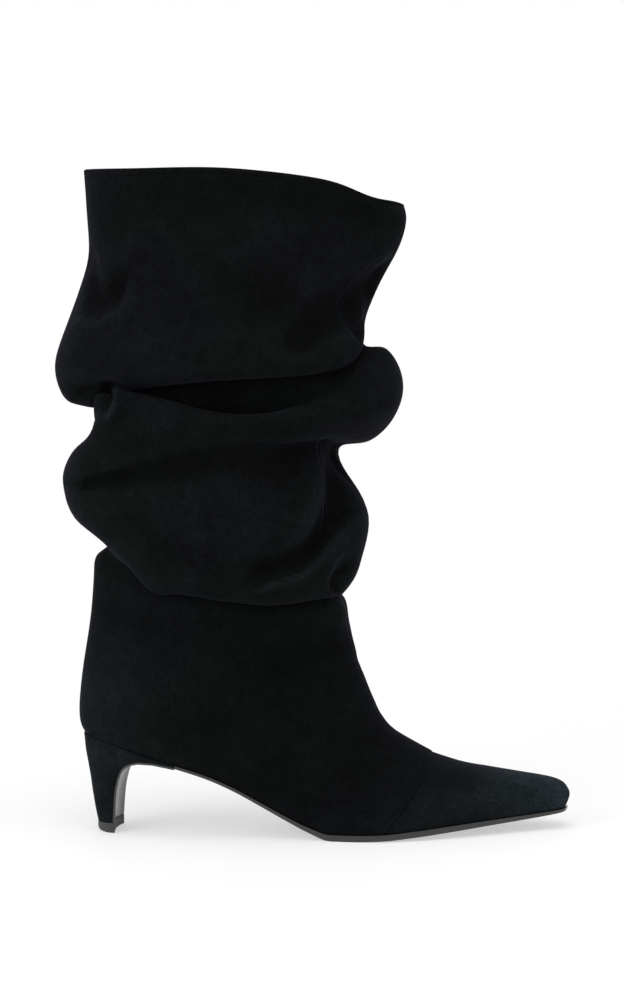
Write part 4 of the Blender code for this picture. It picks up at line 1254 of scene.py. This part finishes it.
# Operators
class BOOT_OT_upper(bpy.types.Operator):
    """Builds the suede upper with its folds, seams and lining"""

    bl_idname = "boot.upper"
    bl_label = "Upper and lining"

    def execute(self, context):
        settings = context.scene.boot_suede
        grid, lining, closed, levels = upper_sheets()
        grid = soften(grid, closed, settings.relax)
        normal = outward(grid, closed)
        seam = seam_row()
        ahead = (grid[: seam + 1, :, :1] - grid[seam, :, :1]) / SEAM_FADE
        vamp = grid[: seam + 1] - SEAM_STEP * np.clip(1 - ahead, 0, 1) * normal[: seam + 1]
        outer = np.concatenate([vamp, grid[seam:]])
        lining = soften(lining, closed, settings.relax)
        feet = closed + 1
        for side in (0, COLUMNS):
            lining[:feet, side, 2] = sole_top(lining[:feet, side, 0] / SOLE_LENGTH) + GAP
        lining[closed:, -1] = lining[closed:, 0]
        shell = self.shell(settings, outer, grid, lining, closed, levels, normal)
        coarse = inside_of(shell, lining[::-1][::2][::-1][:, ::2])
        inside = leather("lining", tuple(context.scene.boot_sole.lining), 0.75, 0.08)
        faces = grid_faces(*coarse.shape[:2])
        lined = mesh_piece("lining", coarse.reshape(-1, 3), faces, inside, WELD)
        belongs(lined, "upper")
        return {"FINISHED"}

    def shell(self, settings, outer, grid, lining, closed, levels, normal):
        """The suede with its cut edge at the collar, which reaches over to the lining."""
        rows, columns = outer.shape[:2]
        count = rows * columns
        flat = outer.reshape(-1, 3)
        gap, run = seam_facts(flat, seam_lines(grid, levels))
        # painted shade in creases and painted highlight on ridges
        painted_fold_shading = fold_sign(outer, closed + 1, FOLD_SHADE_SPAN, FOLD_SHADE_FULL)
        # painted highlight on the edges of folds
        edge = fold_sign(outer, closed + 1, EDGE_HIGHLIGHT_SPAN, EDGE_HIGHLIGHT_FULL)
        # the vamp seam's own step takes no painted highlight as the edge of a fold
        edge[seam_row() - 2 : seam_row() + 4] = 0.0
        rim = grid[-1] - 0.5 * UPPER_WALL * normal[-1] + np.array([0, 0, RIM_RISE])
        vertices = np.concatenate([flat, rim, lining[-1]])
        faces = grid_faces(rows, columns)
        for low, high in ((count - columns, count), (count, count + columns)):
            faces += [(low + c, high + c, high + c + 1, low + c + 1) for c in range(columns - 1)]
        facts = {
            name: np.concatenate([np.ravel(values), np.full(2 * columns, at_rim)])
            for name, values, at_rim in (
                ("seam_gap", gap, SEAM_FAR),
                ("seam_run", run, 0.0),
                ("painted_fold_shading", painted_fold_shading, RIM_HIGHLIGHT),
                ("edge", edge, RIM_HIGHLIGHT),
                ("painted_highlight", painted_highlight_share(outer), 0.0),
            )
        }
        nap = suede("suede", settings, True)
        shell = mesh_piece("suede_upper", vertices, faces, nap, WELD, facts)
        belongs(shell, "upper")
        return shell


class BOOT_OT_insole(bpy.types.Operator):
    """Builds the insole"""

    bl_idname = "boot.insole"
    bl_label = "Insole"

    def execute(self, context):
        inset = FEATHER_INSET + UPPER_WALL + INSOLE_PLAY
        start, end = HEEL_CLEAR / SOLE_LENGTH, 1 - TOE_CLEAR / SOLE_LENGTH
        inner = [a for a in fine_stations() if start + CUT_MARGIN < a < end - CUT_MARGIN]
        along = np.array([start, *inner, end])
        centre, half = plan(along)
        slope = np.abs(np.gradient(half, along * SOLE_LENGTH))
        half = np.maximum(half - inset * np.hypot(1.0, slope), 0.0)
        half[0] = INSOLE_BACK * half[1]
        lower = sole_sheet(along, centre, half, sole_top(along) + GAP)
        upper = lower + np.array([0.0, 0.0, INSOLE_THICKNESS])
        sock = leather("sock", tuple(context.scene.boot_sole.lining), 0.5, 0.3)
        piece = slab("insole_sock", upper, lower, sock)
        soften_edges(piece, INSOLE_EDGE)
        belongs(piece, "insole")
        return {"FINISHED"}


class BOOT_OT_outsole(bpy.types.Operator):
    """Builds the outsole with its waist and the flap down the heel breast"""

    bl_idname = "boot.outsole"
    bl_label = "Outsole"

    def execute(self, context):
        settings = context.scene.boot_sole
        lip_x = heel_table()[-1, 0] + GAP
        along = fine_stations()
        along = along[along > lip_x / SOLE_LENGTH + CUT_MARGIN]
        along = np.concatenate([along[::-1], [lip_x / SOLE_LENGTH]])
        top = sole_sheet(along, *plan(along), sole_top(along))
        bottom = top.copy()
        thick = SOLE_THICKNESS * hermite(column(SOLE, 0), column(SOLE, 5), along)
        bottom[:, :, 2] -= thick[:, None]
        upper = np.concatenate([breast_strip(GAP), top[::-1]])
        lower = np.concatenate([breast_strip(GAP + FLAP_THICKNESS), bottom[::-1]])
        sole = leather("sole", tuple(settings.colour), 0.30, 0.5, 0.30)
        piece = slab("leather_outsole", upper, lower, sole)
        soften_edges(piece, settings.edge)
        belongs(piece, "outsole")
        return {"FINISHED"}


class BOOT_OT_heel(bpy.types.Operator):
    """Builds the covered heel and its top piece"""

    bl_idname = "boot.heel"
    bl_label = "Heel and top piece"

    def execute(self, context):
        settings = context.scene.boot_suede
        rows = heel_table()
        strip = breast_strip(0.0)
        turn = back_turns()
        arcs = [heel_back(row, turn) for row in rows]
        rings = [np.concatenate([arc, line[::-1]]) for arc, line in zip(arcs, strip)]
        seat = rings[-1].copy()
        seat[:, 2] = sole_top(seat[:, 0] / SOLE_LENGTH)
        rings.append(seat)
        # the heel's suede takes an even painted highlight
        nap = suede("heel_suede", settings, False)
        heel = ringed_piece("covered_heel", rings, len(turn), nap)
        soften_edges(heel, HEEL_EDGE)
        belongs(heel, "heel")
        flap_face = breast_strip(GAP + FLAP_THICKNESS)
        ring = np.concatenate([arcs[0], flap_face[0, ::-1]])
        rings = []
        for step in range(TOP_PIECE_STEPS + 1):
            rise = step / TOP_PIECE_STEPS
            level = ring.copy()
            back = np.clip((tip_front() - ring[:, 0]) / TIP_LENGTH, 0, 1)
            level[:, 0] += TOP_PIECE_ROUND * (1 - math.sqrt(1 - (1 - rise) ** 2)) * back
            level[:, 2] = rise * TOP_PIECE_ROUND
            rings.append(level)
        top = ring.copy()
        top[:, 2] = TOP_PIECE_HEIGHT
        rings.append(top)
        matt = rubber("top_piece_rubber", tuple(context.scene.boot_sole.lift))
        lift = ringed_piece("rubber_top_piece", rings, len(turn), matt)
        soften_edges(lift, TOP_PIECE_EDGE)
        belongs(lift, "top_piece")
        return {"FINISHED"}


class BOOT_OT_stage(bpy.types.Operator):
    """Sets the pale floor, the soft light and the camera"""

    bl_idname = "boot.stage"
    bl_label = "Floor, light and camera"

    def execute(self, context):
        settings = context.scene.boot_stage
        scene = context.scene
        world = bpy.data.worlds.new("studio")
        world.use_nodes = True
        sky = world.node_tree.nodes["Background"].inputs
        sky["Color"].default_value = (1.0, 1.0, 1.0, 1.0)
        sky["Strength"].default_value = SKY_STRENGTH * settings.light
        scene.world = world
        scene.view_settings.view_transform = "Standard"
        self.floor(settings)
        self.far_sheets()
        self.lights(scene, settings)
        self.camera(scene)
        return {"FINISHED"}

    def sheet(self, name, corners, faces, material):
        """A sheet of the stage, which isn't part of the boot."""
        mesh = bpy.data.meshes.new(name)
        mesh.from_pydata(corners, [], faces)
        mesh.materials.append(material)
        sheet = bpy.data.objects.new(name, mesh)
        bpy.context.scene.collection.objects.link(sheet)
        return sheet

    def floor(self, settings):
        """A white floor that takes the boot's shadow near it and glows white further off."""
        n, glow = white_glow("floor")
        n.finish(Base_Color=(0.97, 0.97, 0.97), Roughness=0.6)
        away = n.add("ShaderNodeVectorMath", operation="LENGTH")
        n.put(away.inputs[0], n.place())
        near, far = settings.floor * FLOOR_NEAR, settings.floor * FLOOR_FAR
        share = n.spread(away.outputs["Value"], near, far, FLOOR_GLOW, 1.0)
        mixed = n.add("ShaderNodeMixShader")
        for number, value in enumerate((share, n.shader.outputs[0], glow)):
            n.put(mixed.inputs[number], value)
        n.surface(mixed.outputs[0])
        half = FLOOR_HALF
        corners = [(-half, -half, 0), (half, -half, 0), (half, half, 0), (-half, half, 0)]
        self.sheet("floor", corners, [(0, 1, 2, 3)], n.material)

    def far_sheets(self):
        """A white sheet far behind the boot, and a ring where floor and sky meet, which only
        the camera sees."""
        white = white_glow("backdrop")[0].material
        low = [(side * BACKDROP_HALF, BACKDROP_AWAY, SHEET_LOW) for side in (-1, 1)]
        high = [(side * BACKDROP_HALF, BACKDROP_AWAY, SHEET_HIGH) for side in (1, -1)]
        self.sheet("backdrop", low + high, [(0, 1, 2, 3)], white)
        count = HORIZON_SIDES
        turns = [2 * math.pi * i / count for i in range(count)]
        ring = [(HORIZON_AWAY * math.cos(t), HORIZON_AWAY * math.sin(t)) for t in turns]
        corners = [(x, y, z) for z in (SHEET_LOW, SHEET_HIGH) for x, y in ring]
        faces = [(i, (i + 1) % count, count + (i + 1) % count, count + i) for i in range(count)]
        horizon = self.sheet("horizon", corners, faces, white)
        horizon.visible_diffuse = False
        horizon.visible_glossy = False
        horizon.visible_shadow = False

    def lights(self, scene, settings):
        """Large soft boxes: overhead, from the back of the boot, and from the toe."""
        for name, place, side, power in LIGHTS:
            data = bpy.data.lights.new(name, "AREA")
            data.shape = "RECTANGLE"
            data.size = data.size_y = side
            data.energy = power * settings.light
            lamp = bpy.data.objects.new(name, data)
            lamp.location = place
            aim = Vector(LIGHT_AIM) - Vector(place)
            lamp.rotation_euler = aim.to_track_quat("-Z", "Y").to_euler()
            scene.collection.objects.link(lamp)

    def camera(self, scene):
        """The photograph's angle: level with the collar, looking at the outer side."""
        data = bpy.data.cameras.new("camera")
        data.lens = LENS
        data.sensor_width = SENSOR
        camera = bpy.data.objects.new("camera", data)
        aim = Vector(CAMERA_AIM) + Vector(ORIGIN)
        camera.location = aim + Vector(CAMERA_AWAY)
        camera.rotation_euler = (aim - camera.location).to_track_quat("-Z", "Y").to_euler()
        scene.collection.objects.link(camera)
        scene.camera = camera


class BOOT_PT_panel(bpy.types.Panel):
    """The boot's settings and steps"""

    bl_label = "Slouch boot"
    bl_idname = "BOOT_PT_panel"
    bl_space_type = "VIEW_3D"
    bl_region_type = "UI"
    bl_category = "Boot"

    def draw(self, context):
        for group in (context.scene.boot_suede, context.scene.boot_sole, context.scene.boot_stage):
            for prop in group.bl_rna.properties:
                if prop.identifier not in ("rna_type", "name"):
                    self.layout.prop(group, prop.identifier)
        for operator in OPERATORS:
            self.layout.operator(operator.bl_idname)


GROUPS = (("boot_suede", BootSuede), ("boot_sole", BootSole), ("boot_stage", BootStage))
OPERATORS = (BOOT_OT_upper, BOOT_OT_insole, BOOT_OT_outsole, BOOT_OT_heel, BOOT_OT_stage)


def register():
    for name, group in GROUPS:
        bpy.utils.register_class(group)
        setattr(bpy.types.Scene, name, bpy.props.PointerProperty(type=group))
    for operator in OPERATORS:
        bpy.utils.register_class(operator)
    bpy.utils.register_class(BOOT_PT_panel)


def unregister():
    bpy.utils.unregister_class(BOOT_PT_panel)
    for operator in reversed(OPERATORS):
        bpy.utils.unregister_class(operator)
    for name, group in reversed(GROUPS):
        delattr(bpy.types.Scene, name)
        bpy.utils.unregister_class(group)


def main():
    register()
    bpy.ops.boot.upper()
    bpy.ops.boot.insole()
    bpy.ops.boot.outsole()
    bpy.ops.boot.heel()
    bpy.ops.boot.stage()


if __name__ == "__main__":
    main()
